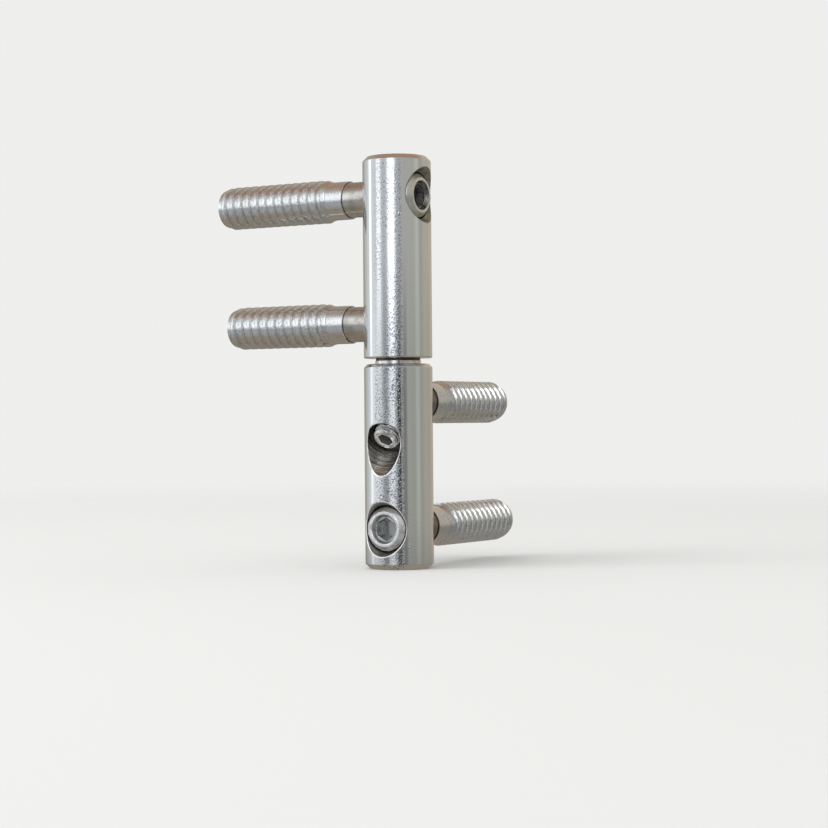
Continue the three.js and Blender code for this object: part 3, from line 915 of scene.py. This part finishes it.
bush_length = box_mm("bearing_bush")[1].z - box_mm("bearing_bush")[0].z
upper_length = upper_top - upper_bottom
leaf_barrel = barrel("leaf_barrel_turned", upper_length, BUSH_BORE_RADIUS,
                     upper_length - bush_length - BUSH_END_ROOM, DRILLED_X, BORED)
place(leaf_barrel, to_leaf)
wear(leaf_barrel, "barrel_zinc", "leaf_part", "leaf_barrel", ZINC)

# %% [markdown]
# ## The adjusting screws
#
# Head, shank and thread are one turned piece. The head is dished round its socket, with a
# narrow bright rim, and narrows towards that rim. The M8 thread at its tip is cut separately.

# %% The thread
M8_PITCH = 1.25
M8_CREST = 4.0
M8_ROOT = 3.25


def thread_radius(height, angle, start, end, root, crest, pitch, flat, runout):
    """Radius of a threaded rod at a height and an angle. It fades to the root at both ends."""
    phase = (height / pitch - angle / (2 * math.pi)) % 1.0
    from_crest = abs(phase - 0.5) * 2
    rise = min(1.0, max(0.0, (from_crest - flat) / (1 - 2 * flat)))
    fade = min(1.0, max(0.0, (height - start) / runout), max(0.0, (end - height) / runout))
    return root + (crest - root) * rise * fade


def threaded_rod(name, start, end, root, crest, pitch, material, flat=0.125, runout=None, rows=12,
                 sides=72, bore=0.0):
    """A rod, or a tube if it has a bore, with an outside thread, about +Z.

    A cylinder is cut into rows, and each row's points are moved out or in by the thread's shape."""
    turns = (end - start) / pitch
    count = int(round(turns * rows))
    outline = [(crest, start + (end - start) * row / count) for row in range(count + 1)]
    points = [(bore, start)] + outline + [(bore, end)] + ([(bore, start)] if bore else [])
    piece = lathe(name, points, material, steps=sides, edge=0)
    for vertex in piece.data.vertices:
        x, y, z = vertex.co
        if math.hypot(x, y) < crest - SAME_POINT:
            continue
        angle = math.atan2(y, x)
        radius = thread_radius(z, angle, start, end, root, crest, pitch, flat, runout or 0.8 * pitch)
        vertex.co = (radius * math.cos(angle), radius * math.sin(angle), z)
    return piece


# %% [markdown]
# The screw's hexagonal socket is cut like any other hole. In the frame's screw its walls take the
# darker, rougher finish of metal that a tool has pressed, and its floor is near-white and matt, a
# painted light. In the leaf's screw walls and floor are nearly black, partly oil and partly painted
# shade. Its own short chamfer is a hexagon that widens towards the face.

# %% Head and shank
HEAD_CONE_LENGTH = 1.25
HEAD_RIM_RADIUS = 5.1
HEAD_RIM_WIDTH = 0.9
HEAD_LENGTH = 4.0
LIP_ROUND = 0.12
HEAD_ROUND = 0.25
DISH_DEPTH = 1.2
DISH_FLOOR_RADIUS = 3.6
SOCKET_ACROSS_FLATS = 6.0
SOCKET_DEPTH = 7.3
SHANK_RADIUS = 5.2
SCREW_THREAD_LENGTH = 24.0
RING_GROOVE_RADIUS = 4.65
HEAD_WORN = 0.12             # turning it in its pocket has worn the head down by this much
SOCKET_MOUTH = (-0.4, 0.25)  # where its chamfer starts and ends, from the dish's floor
SOCKET_MOUTH_WIDER = 1.06


def widen_start(cutter, start, factor):
    """Scales the end of a cutter that lies at `start`, which makes its walls slope."""
    for vertex in cutter.data.vertices:
        if abs(vertex.co.z - start) < 0.01:
            vertex.co.x *= factor
            vertex.co.y *= factor
    return cutter


def adjusting_screw(name, side, finish, shank, dish, socket, socket_floor):
    height, head_radius, face, tip = cross_pin(f"{side}_adjusting_screw", side)
    underside = face + HEAD_LENGTH
    thread_start = tip - SCREW_THREAD_LENGTH
    lip_inner = HEAD_RIM_RADIUS - HEAD_RIM_WIDTH
    head_radius -= HEAD_WORN
    piece = lathe(name, [
        (0, face + DISH_DEPTH),
        (DISH_FLOOR_RADIUS, face + DISH_DEPTH),
        (lip_inner, face + LIP_ROUND),
        (lip_inner + LIP_ROUND, face),
        (HEAD_RIM_RADIUS, face),
        (head_radius - HEAD_ROUND, face + HEAD_CONE_LENGTH - HEAD_ROUND),
        (head_radius, face + HEAD_CONE_LENGTH + HEAD_ROUND),
        (head_radius, underside),
        (SHANK_RADIUS, underside),
        (SHANK_RADIUS, GROOVE[0]),
        (RING_GROOVE_RADIUS, GROOVE[0]),
        (RING_GROOVE_RADIUS, GROOVE[1]),
        (SHANK_RADIUS, GROOVE[1]),
        (SHANK_RADIUS, thread_start - (SHANK_RADIUS - M8_ROOT)),
        (M8_ROOT, thread_start),
        (M8_ROOT, thread_start + 1),
        (0, thread_start + 1),
    ], finish, dish, shank, steps=160, edge=0.14, edge_segments=3)
    for polygon in piece.data.polygons:
        x, y, z = polygon.center
        in_dish = math.hypot(x, y) < lip_inner + LIP_ROUND / 2 and face < z < face + DISH_DEPTH + 0.1
        polygon.material_index = 2 if z > underside else int(in_dish)
    cut(piece, hexagon_cutter("socket_cutter", SOCKET_ACROSS_FLATS, face - OVERCUT,
                              face + SOCKET_DEPTH, socket, socket_floor))
    mouth_start, mouth_end = (face + DISH_DEPTH + x for x in SOCKET_MOUTH)
    mouth = hexagon_cutter("socket_mouth_cutter", SOCKET_ACROSS_FLATS, mouth_start, mouth_end, dish)
    cut(piece, widen_start(mouth, mouth_start, SOCKET_MOUTH_WIDER))
    thread = threaded_rod("screw_thread", thread_start, tip, M8_ROOT, M8_CREST, M8_PITCH, shank)
    return joined(piece, thread), height


def across_leaf(height):
    """From local +Z to along -X, at a height, with local +Y still pointing up or down."""
    return Matrix.Translation((0, 0, height)) @ Matrix.Rotation(math.pi / 2, 4, "Z") @ ALONG_Y


def across_frame(height):
    return Matrix.Translation((0, 0, height)) @ ALONG_Y


# The frame screw's socket floor carries painted light, and its shank the frame pins' painted shade.
piece, height = adjusting_screw("frame_adjusting_screw_turned", "frame", SCREW_Y, PIN_Y_PAINTED_SHADE,
                                DISH, SOCKET, SOCKET_FLOOR_PAINTED_LIGHT)
place(piece, across_frame(height))
wear(piece, "screw_steel", "frame_screw", "frame_adjusting_screw", SCREW_Y)

# The leaf screw's socket is nearly black, partly oil and partly painted shade.
piece, height = adjusting_screw("leaf_adjusting_screw_turned", "leaf", SCREW_X, PIN_X,
                                DISH_OILED, SOCKET_OIL_AND_SHADE, SOCKET_OIL_AND_SHADE)
place(piece, across_leaf(height))
wear(piece, "screw_steel", "leaf_screw", "leaf_adjusting_screw", SCREW_X)

# %% [markdown]
# ## Pins and sleeves
#
# The guide pins are plain turned steel, with a wide chamfer at the end that is pushed into the
# wood.

# %% Guide pins
GUIDE_PIN_CHAMFER = 1.2


def guide_pin(name, side, finish):
    height, radius, start, end = cross_pin(f"{side}_guide_pin", side)
    piece = lathe(name, [
        (0, start),
        (radius, start),
        (radius, end - GUIDE_PIN_CHAMFER),
        (radius - GUIDE_PIN_CHAMFER, end),
        (0, end),
    ], finish, edge=0.15, edge_segments=3)
    return smooth(piece), height


# The frame's guide pin carries the painted shade of its dark brown steel.
piece, height = guide_pin("frame_guide_pin_turned", "frame", PIN_Y_PAINTED_SHADE)
place(piece, across_frame(height))
wear(piece, "pin_steel", "frame_part", "frame_guide_pin", PIN_Y_PAINTED_SHADE)

piece, height = guide_pin("leaf_guide_pin_turned", "leaf", PIN_X)
place(piece, across_leaf(height))
wear(piece, "pin_steel", "leaf_part", "leaf_guide_pin", PIN_X)

# %% [markdown]
# The sleeves stay in the wood: a slim neck ends in the bright rim just in front of it, and a
# coarse, sharp wood thread holds it. The thread starts and ends by growing out of the core, as a
# cut thread does. A sleeve that takes a screw is narrower inside, for the screw's own thread.

# %% Sleeves
NECK_RADIUS = 5.65
NECK_LENGTH = 5.8            # from the rim to the start of the thread
SLEEVE_BORE_RADIUS = 5.3
SLEEVE_THREAD_HOLE = 4.15
SLEEVE_PLAIN_LENGTH = {"frame": 20.3, "leaf": 20.8}
SLEEVE_STEP = 1.1            # over which the bore narrows to the threaded hole
SLEEVE_OVERLAP = 0.05        # so that two joined parts leave no gap
WOOD_PITCH = 3.0
WOOD_FLAT = 0.40
WOOD_RUNOUT = 2.4


def sleeve(name, node, side, threaded):
    height, crest, rim, end = cross_pin(node, side)
    thread_start = rim + NECK_LENGTH
    neck = lathe(name, ring_profile(SLEEVE_BORE_RADIUS, NECK_RADIUS, rim, thread_start), SLEEVE,
                 edge=0.12, edge_segments=3)
    body = threaded_rod("wood_thread", thread_start - 0.01, end, NECK_RADIUS, crest, WOOD_PITCH,
                        SLEEVE, flat=WOOD_FLAT, runout=WOOD_RUNOUT, rows=20, sides=96,
                        bore=SLEEVE_BORE_RADIUS)
    parts = [neck, body]
    if threaded:
        inner_start = rim + SLEEVE_PLAIN_LENGTH[side]
        outer = SLEEVE_BORE_RADIUS + SLEEVE_OVERLAP
        parts.append(lathe("thread_part", [
            (outer, inner_start - SLEEVE_STEP),
            (outer, end - SLEEVE_OVERLAP),
            (SLEEVE_THREAD_HOLE, end - SLEEVE_OVERLAP),
            (SLEEVE_THREAD_HOLE, inner_start),
            (outer, inner_start - SLEEVE_STEP),
        ], SLEEVE, steps=96, edge=0))
    return joined(*parts), height


for side, put in (("frame", across_frame), ("leaf", across_leaf)):
    for kind in ("threaded", "guide"):
        node = f"{side}_{kind}_sleeve"
        piece, height = sleeve(f"{node}_turned", node, side, kind == "threaded")
        place(piece, put(height))
        wear(piece, "sleeve_zinc", f"{side}_anchor", node, SLEEVE)

# %% [markdown]
# ## The pivot
#
# The pivot pin stands on its collar, which shows as a bright ring in the gap between the barrels.
# Its foot is cut off at 45 degrees, square to the height screw, so that the pad can lift it. The
# Bisect operator does that cut and fills it.

# %% Pivot pin, washer, bush
COLLAR_TOP_ABOVE = 1.0
PIVOT_RADIUS = 4.0
PIVOT_CHAMFER = 1.0

low, high = box_mm("pivot_pin")
collar_top = lower_top + COLLAR_TOP_ABOVE
pin = lathe("pivot_pin_turned", [
    (0, low.z),
    (PIVOT_RADIUS, low.z),
    (PIVOT_RADIUS, lower_top),
    (high.x, lower_top),
    (high.x, collar_top),
    (PIVOT_RADIUS, collar_top),
    (PIVOT_RADIUS, high.z - PIVOT_CHAMFER),
    (PIVOT_RADIUS - PIVOT_CHAMFER, high.z),
    (0, high.z),
], PIN_Z, edge=0.12, edge_segments=3)
bpy.ops.object.mode_set(mode="EDIT")
bpy.ops.mesh.select_all(action="SELECT")
bpy.ops.mesh.bisect(plane_co=(0, PIVOT_RADIUS, low.z), plane_no=advance, use_fill=True,
                    clear_inner=True)
bpy.ops.object.mode_set(mode="OBJECT")
smooth(pin)
place(pin)
wear(pin, "pin_steel", "pivot", "pivot_pin", PIN_Z)

# The washer's nearly black bronze is painted shade in the gap.
low, high = box_mm("thrust_washer")
washer = lathe("thrust_washer_turned", ring_profile(PIVOT_BORE_RADIUS, high.x, low.z, high.z),
               BRONZE_PAINTED_SHADE, edge=0.1)
place(smooth(washer))
wear(washer, "bronze", "washer", "thrust_washer", BRONZE_PAINTED_SHADE)

low, high = box_mm("bearing_bush")
bush = lathe("bearing_bush_moulded", ring_profile(PIVOT_BORE_RADIUS, high.x, low.z, high.z),
             PLASTIC, edge=0.15)
place(smooth(bush))
wear(bush, "bush_polymer", "leaf_part", "bearing_bush", PLASTIC)

# %% [markdown]
# ## The height screw and its pad
#
# A short M8 set screw lies at the bottom of the tilted pocket, with a 4 mm socket in its bright,
# chamfered end. That end is plain and a little thinner than the thread, which starts right behind
# it, so a dark gap shows all round. It is modelled along +Z and placed along its tilted axis.

# %% Height screw
SET_SCREW_SOCKET = 4.0
SET_SCREW_SOCKET_DEPTH = 4.0
SET_SCREW_LENGTH = 7.0
SET_SCREW_CHAMFER = 0.55
SET_SCREW_END_RADIUS = 3.75     # its plain end, in front of the thread
SET_SCREW_PLAIN = 0.35          # how long that end is behind its chamfer
SET_SCREW_TIP_CHAMFER = 0.3
SET_MOUTH_DEPTH = 0.25          # of the chamfer round its socket, at 45 degrees

set_face = to_surface - SET_SCREW_LENGTH / 2
set_end = to_surface + SET_SCREW_LENGTH / 2
print(f"set screw's face lies {set_face:.2f} mm inside the barrel's surface")
plain_start = set_face + SET_SCREW_CHAMFER
plain_end = plain_start + SET_SCREW_PLAIN
face_part = lathe("height_set_screw_turned", [
    (0, set_face),
    (SET_SCREW_END_RADIUS - SET_SCREW_CHAMFER, set_face),
    (SET_SCREW_END_RADIUS, plain_start),
    (SET_SCREW_END_RADIUS, plain_end),
    (M8_ROOT, plain_end + (SET_SCREW_END_RADIUS - M8_ROOT) / 2),
    (M8_ROOT, set_end - SET_SCREW_TIP_CHAMFER),
    (M8_ROOT - SET_SCREW_TIP_CHAMFER, set_end),
    (0, set_end),
], SCREW_TILTED, edge=0.1, edge_segments=3)
outside = set_face - OVERCUT
# Its socket is nearly black: painted shade, with blotches of oil.
cut(face_part, hexagon_cutter("set_socket_cutter", SET_SCREW_SOCKET, outside,
                              set_face + SET_SCREW_SOCKET_DEPTH, SOCKET_OIL_AND_SHADE))
mouth = hexagon_cutter("set_mouth_cutter", SET_SCREW_SOCKET, outside, set_face + SET_MOUTH_DEPTH,
                       SCREW_TILTED)
widening = 1.0 + (OVERCUT + SET_MOUTH_DEPTH) / (SET_SCREW_SOCKET / 2)
cut(face_part, widen_start(mouth, outside, widening))
thread = threaded_rod("set_thread", set_face + SET_SCREW_CHAMFER + 0.3, set_end - 0.2,
                      M8_ROOT - 0.02, M8_CREST, M8_PITCH, SCREW_TILTED, runout=0.5,
                      bore=0.7 * SET_SCREW_SOCKET)
place(joined(face_part, thread), along_height_screw)
wear(face_part, "screw_steel", "height_screw", "height_set_screw", SCREW_TILTED)

# %% [markdown]
# The bronze pad lies between the screw's tip and the bevelled foot of the pivot pin, and slides
# with the screw along the same tilted axis. It is a plain disc with a chamfer, placed like the
# screw.

# %% Pad
PAD_RADIUS = 3.7
PAD_THICKNESS = 1.5
PAD_CHAMFER = 0.3
SCREW_TO_PAD = 0.3
pad_start = set_end + SCREW_TO_PAD
pad_end = pad_start + PAD_THICKNESS
pad = lathe("height_pressure_pad_turned", [
    (0, pad_start),
    (PAD_RADIUS, pad_start),
    (PAD_RADIUS, pad_end - PAD_CHAMFER),
    (PAD_RADIUS - PAD_CHAMFER, pad_end),
    (0, pad_end),
], BRONZE_PAINTED_SHADE, edge=0.06)
place(smooth(pad), along_height_screw)
wear(pad, "bronze", "height_pad", "height_pressure_pad", BRONZE_PAINTED_SHADE)

# %% [markdown]
# ## Washers and snap rings
#
# Under each adjusting screw's head lies a spring washer, and an open ring of wire in a groove
# behind it keeps the screw from walking out. Both are small, but they show through the pocket's
# gap and in a view from inside. The ring is spun through less than a full turn, and its ends are
# closed with faces.

# %% Spring washers and snap rings
SNAP_RING_INNER = 4.75
SNAP_RING_WIRE = 1.1
SNAP_RING_ROUND = 0.2
SNAP_RING_SMOOTH = 40        # degrees
SNAP_RING_START = 3.0
SNAP_RING_OPENING = 3.0


def spring_washer(name, side):
    height, radius, start, end = cross_pin(f"{side}_screw_washer", side)
    piece = lathe(name, ring_profile(SHANK_BORE_RADIUS, radius, start, end), SPRING, steps=96,
                  edge=0.12)
    return smooth(piece), height


def snap_ring(name, side):
    height = cross_pin(f"{side}_screw_washer", side)[0]
    outer = SNAP_RING_INNER + SNAP_RING_WIRE
    half_opening = math.asin(SNAP_RING_OPENING / 2 / outer)
    piece = draw_profile(name, ring_profile(
        SNAP_RING_INNER, outer, SNAP_RING_START, SNAP_RING_START + SNAP_RING_WIRE))
    bpy.ops.mesh.select_all(action="SELECT")
    bpy.ops.mesh.remove_doubles(threshold=SAME_POINT)
    bpy.ops.mesh.edge_face_add()
    bpy.ops.mesh.spin(steps=72, angle=2 * math.pi - 2 * half_opening, center=(0, 0, 0),
                      axis=(0, 0, 1))
    face_outwards()
    break_edges(piece, SNAP_RING_ROUND, 3, SNAP_RING_SMOOTH)
    piece.data.transform(Matrix.Rotation(math.pi / 2 + half_opening, 4, "Z"))
    piece.data.materials.append(SPRING)
    return smooth(piece, SNAP_RING_SMOOTH), height


for side, put in (("frame", across_frame), ("leaf", across_leaf)):
    piece, height = spring_washer(f"{side}_screw_washer_turned", side)
    place(piece, put(height))
    wear(piece, "spring_steel", f"{side}_part", f"{side}_screw_washer", SPRING)
    piece, height = snap_ring(f"{side}_snap_ring_bent", side)
    place(piece, put(height))
    wear(piece, "spring_steel", f"{side}_part", f"{side}_snap_ring", SPRING)

# %% [markdown]
# ## The studio
#
# Bright metal shows what surrounds it and little else, so the studio is built round the hinge. The
# camera comes first: it stands 31.5 degrees round from the front, with a long lens, at about half
# the hinge's height, and it is rolled by half a degree.

# %% The camera
CAMERA_AZIMUTH = math.radians(31.5)
LENS = 90
DISTANCE = 0.6047
EYE_HEIGHT = 0.0431
AIM_HEIGHT = 0.0449
AIM_RIGHT = 0.0045
ROLL = math.radians(-0.47)

to_camera = Vector((math.sin(CAMERA_AZIMUTH), -math.cos(CAMERA_AZIMUTH), 0))
to_right = Vector((math.cos(CAMERA_AZIMUTH), math.sin(CAMERA_AZIMUTH), 0))
bpy.ops.object.camera_add()
camera = bpy.context.object
camera.name = "camera"
camera.data.lens = LENS
camera.data.clip_start = 0.01
aim = to_right * AIM_RIGHT + Vector((0, 0, AIM_HEIGHT))
camera.location = to_right * AIM_RIGHT + to_camera * DISTANCE + Vector((0, 0, EYE_HEIGHT))
look = (aim - camera.location).to_track_quat("-Z", "Y")
camera.rotation_euler = (look.to_matrix().to_4x4() @ Matrix.Rotation(ROLL, 4, "Z")).to_euler()
bpy.context.scene.camera = camera

# %% [markdown]
# The light is drawn as a panorama on the world: window strips, grey walls, a darker skirting and
# a dark figure behind the camera, each at its angle round the hinge. Ceiling and ground are of
# wood behind the hinge and grey on the camera's side. Only reflections see that panorama.
# Everything else gets an even, soft white, and the camera sees a plain backdrop.

# %% The panorama
# Angle from the direction of the camera, positive to its right, and the brightness there, below
# eye level and above it.
WINDOW = 2.2
PANORAMA = [
    (-180, 0.32, 0.32, "warm"),
    (-150, 0.36, 0.36, "warm"),
    (-131, 0.52, 0.55, "plain"),
    (-117, 0.66, 0.68, "cool"),
    (-111, 0.70, 0.70, "cool"),
    (-105, 1.10, 1.40, "cool"),
    (-100, 1.10, 1.40, "cool"),
    (-93, 0.82, 0.72, "cool"),
    (-76, 0.86, 0.70, "cool"),
    (-71, 0.78, 1.25, "cool"),
    (-60, 0.72, 1.20, "cool"),
    (-54, 0.46, 0.62, "cool"),
    (-46, 0.25, 0.54, "cool"),
    (-37, 0.28, 0.60, "cool"),
    (-30, 0.66, 1.20, "cool"),
    (-25, 0.82, WINDOW, "cool"),
    (-14, 0.80, WINDOW, "cool"),
    (-9, 0.44, 1.00, "cool"),
    (-4, 0.25, 0.62, "cool"),
    (0, 0.05, 0.47, "cool"),
    (8, 0.02, 0.44, "cool"),
    (11, 0.34, 0.42, "plain"),
    (16, 0.34, 0.43, "plain"),
    (20, 0.19, 0.42, "plain"),
    (25, 0.20, 0.41, "plain"),
    (32, 0.35, 0.41, "green"),
    (55, 0.335, 0.405, "green"),
    (69, 0.44, 0.50, "green"),
    (84, 0.33, 0.36, "green"),
    (104, 0.38, 0.42, "warm"),
    (128, 0.36, 0.42, "warm"),
    (146, 0.42, 0.46, "tan"),
]
TINTS = {
    "plain": (1.0, 1.0, 0.98),
    "cool": (0.95, 0.985, 1.03),
    "green": (1.0, 1.01, 0.93),
    "warm": (1.07, 0.99, 0.86),
    "tan": (1.15, 0.96, 0.78),
}
EYE_LEVEL_BLEND = (0.015, 0.09)     # sine of the elevation over which the lower wall gives way
SKIRTING_BLEND = (-0.085, -0.045)   # and over which the wall gives way to a darker skirting
SKIRTING = (0.16, 0.16, 0.15)
SKIRTING_STRENGTH = 0.6
CEILING_BLEND = (0.50, 0.85)
GROUND_BLEND = (-0.30, -0.75)
CEILING, ROOM_CEILING = (0.37, 0.255, 0.185), (0.46, 0.46, 0.45)    # behind, and at the camera
GROUND, ROOM_GROUND = (0.30, 0.255, 0.205), (0.27, 0.27, 0.265)
ROOM_SIDE_BLEND = (0.08, 0.40)      # share of a direction that points to the camera
BACKDROP = (0.86, 0.86, 0.85)
SOFT_LIGHT = (0.95, 0.95, 0.94)


def panorama_ramp(tree, around, level):
    ramp = add(tree, "ShaderNodeValToRGB", {"Fac": around})
    ramp.color_ramp.interpolation = "EASE"
    marks = ramp.color_ramp.elements
    while len(marks) < len(PANORAMA):
        marks.new(0.5)
    for mark, stop in zip(marks, PANORAMA):
        mark.position = (stop[0] + 180) / 360
    for mark, stop in zip(marks, PANORAMA):
        tint = TINTS[stop[3]]
        mark.color = (*(stop[level] * channel for channel in tint), 1)
    return ramp.outputs["Color"]


world = bpy.data.worlds.new("studio")
bpy.context.scene.world = world
world.use_nodes = True
tree = world.node_tree
where = add(tree, "ShaderNodeTexCoord")
turned = add(tree, "ShaderNodeMapping", {
    "Vector": where.outputs["Generated"], "Rotation": (0, 0, math.pi / 2 - CAMERA_AZIMUTH)})
split = add(tree, "ShaderNodeSeparateXYZ", {0: turned.outputs["Vector"]})
angle = add(tree, "ShaderNodeMath", {0: split.outputs["Y"], 1: split.outputs["X"]}, operation="ARCTAN2")
around = add(tree, "ShaderNodeMapRange", {
    "Value": angle.outputs[0], "From Min": -math.pi, "From Max": math.pi}).outputs["Result"]
elevation = split.outputs["Z"]
walls = mix_colours(tree, remap(tree, elevation, *EYE_LEVEL_BLEND),
                   panorama_ramp(tree, around, 1), panorama_ramp(tree, around, 2))
skirting = remap(tree, elevation, *SKIRTING_BLEND, SKIRTING_STRENGTH, 0.0)
walls = mix_colours(tree, skirting, walls, SKIRTING)
room_side = remap(tree, split.outputs["X"], *ROOM_SIDE_BLEND)
ceiling = mix_colours(tree, room_side, CEILING, ROOM_CEILING)
ground = mix_colours(tree, room_side, GROUND, ROOM_GROUND)
walls = mix_colours(tree, remap(tree, elevation, *CEILING_BLEND), walls, ceiling)
walls = mix_colours(tree, remap(tree, elevation, *GROUND_BLEND), walls, ground)
path = add(tree, "ShaderNodeLightPath")
seen = mix_colours(tree, path.outputs["Is Glossy Ray"], SOFT_LIGHT, walls)
seen = mix_colours(tree, path.outputs["Is Camera Ray"], seen, BACKDROP)
tree.links.new(seen, tree.nodes["Background"].inputs["Color"])

# %% [markdown]
# The floor is a pale disc that fades into the backdrop, so that no horizon shows behind the
# hinge. Reflections don't see it: otherwise it would wash out the lower barrel. A weak area light
# gives the hinge a soft shadow on it.

# %% Floor and key light
FLOOR_RADIUS = 1.6
FLOOR_HEIGHT = -0.00005          # just below the hinge, so that the two don't touch
FLOOR_COLOUR = (0.745, 0.745, 0.737, 1)
FLOOR_FADE = (0.25, 0.95)        # distances over which it fades
KEY_PLACE = (-0.55, -0.75, 0.95)
KEY_AIM = Vector((0, 0, 0.05))
KEY_POWER = 6
KEY_SIZE = 0.7

bpy.ops.object.select_all(action="DESELECT")
bpy.ops.mesh.primitive_circle_add(vertices=96, radius=FLOOR_RADIUS, fill_type="NGON",
                                  location=(0, 0, FLOOR_HEIGHT))
floor = bpy.context.object
floor.name = "floor"
floor.visible_glossy = False
paint = bpy.data.materials.new("floor_paint")
paint.use_nodes = True
tree = paint.node_tree
shader = tree.nodes["Principled BSDF"]
shader.inputs["Base Color"].default_value = FLOOR_COLOUR
shader.inputs["Roughness"].default_value = 0.9
shader.inputs["Specular IOR Level"].default_value = 0.2
where = add(tree, "ShaderNodeTexCoord")
far = add(tree, "ShaderNodeVectorMath", {0: where.outputs["Object"]}, operation="LENGTH")
fade = remap(tree, far.outputs["Value"], *FLOOR_FADE)
clear = add(tree, "ShaderNodeBsdfTransparent")
mixed = add(tree, "ShaderNodeMixShader", {0: fade, 1: shader.outputs[0], 2: clear.outputs[0]})
tree.links.new(mixed.outputs[0], tree.nodes["Material Output"].inputs["Surface"])
floor.data.materials.append(paint)

bpy.ops.object.light_add(type="AREA", location=KEY_PLACE)
key = bpy.context.object
key.name = "key"
key.data.energy = KEY_POWER
key.data.size = KEY_SIZE
key.visible_camera = False
key.visible_glossy = False
key.rotation_euler = (KEY_AIM - key.location).to_track_quat("-Z", "Y").to_euler()

bpy.context.scene.view_settings.view_transform = "Standard"
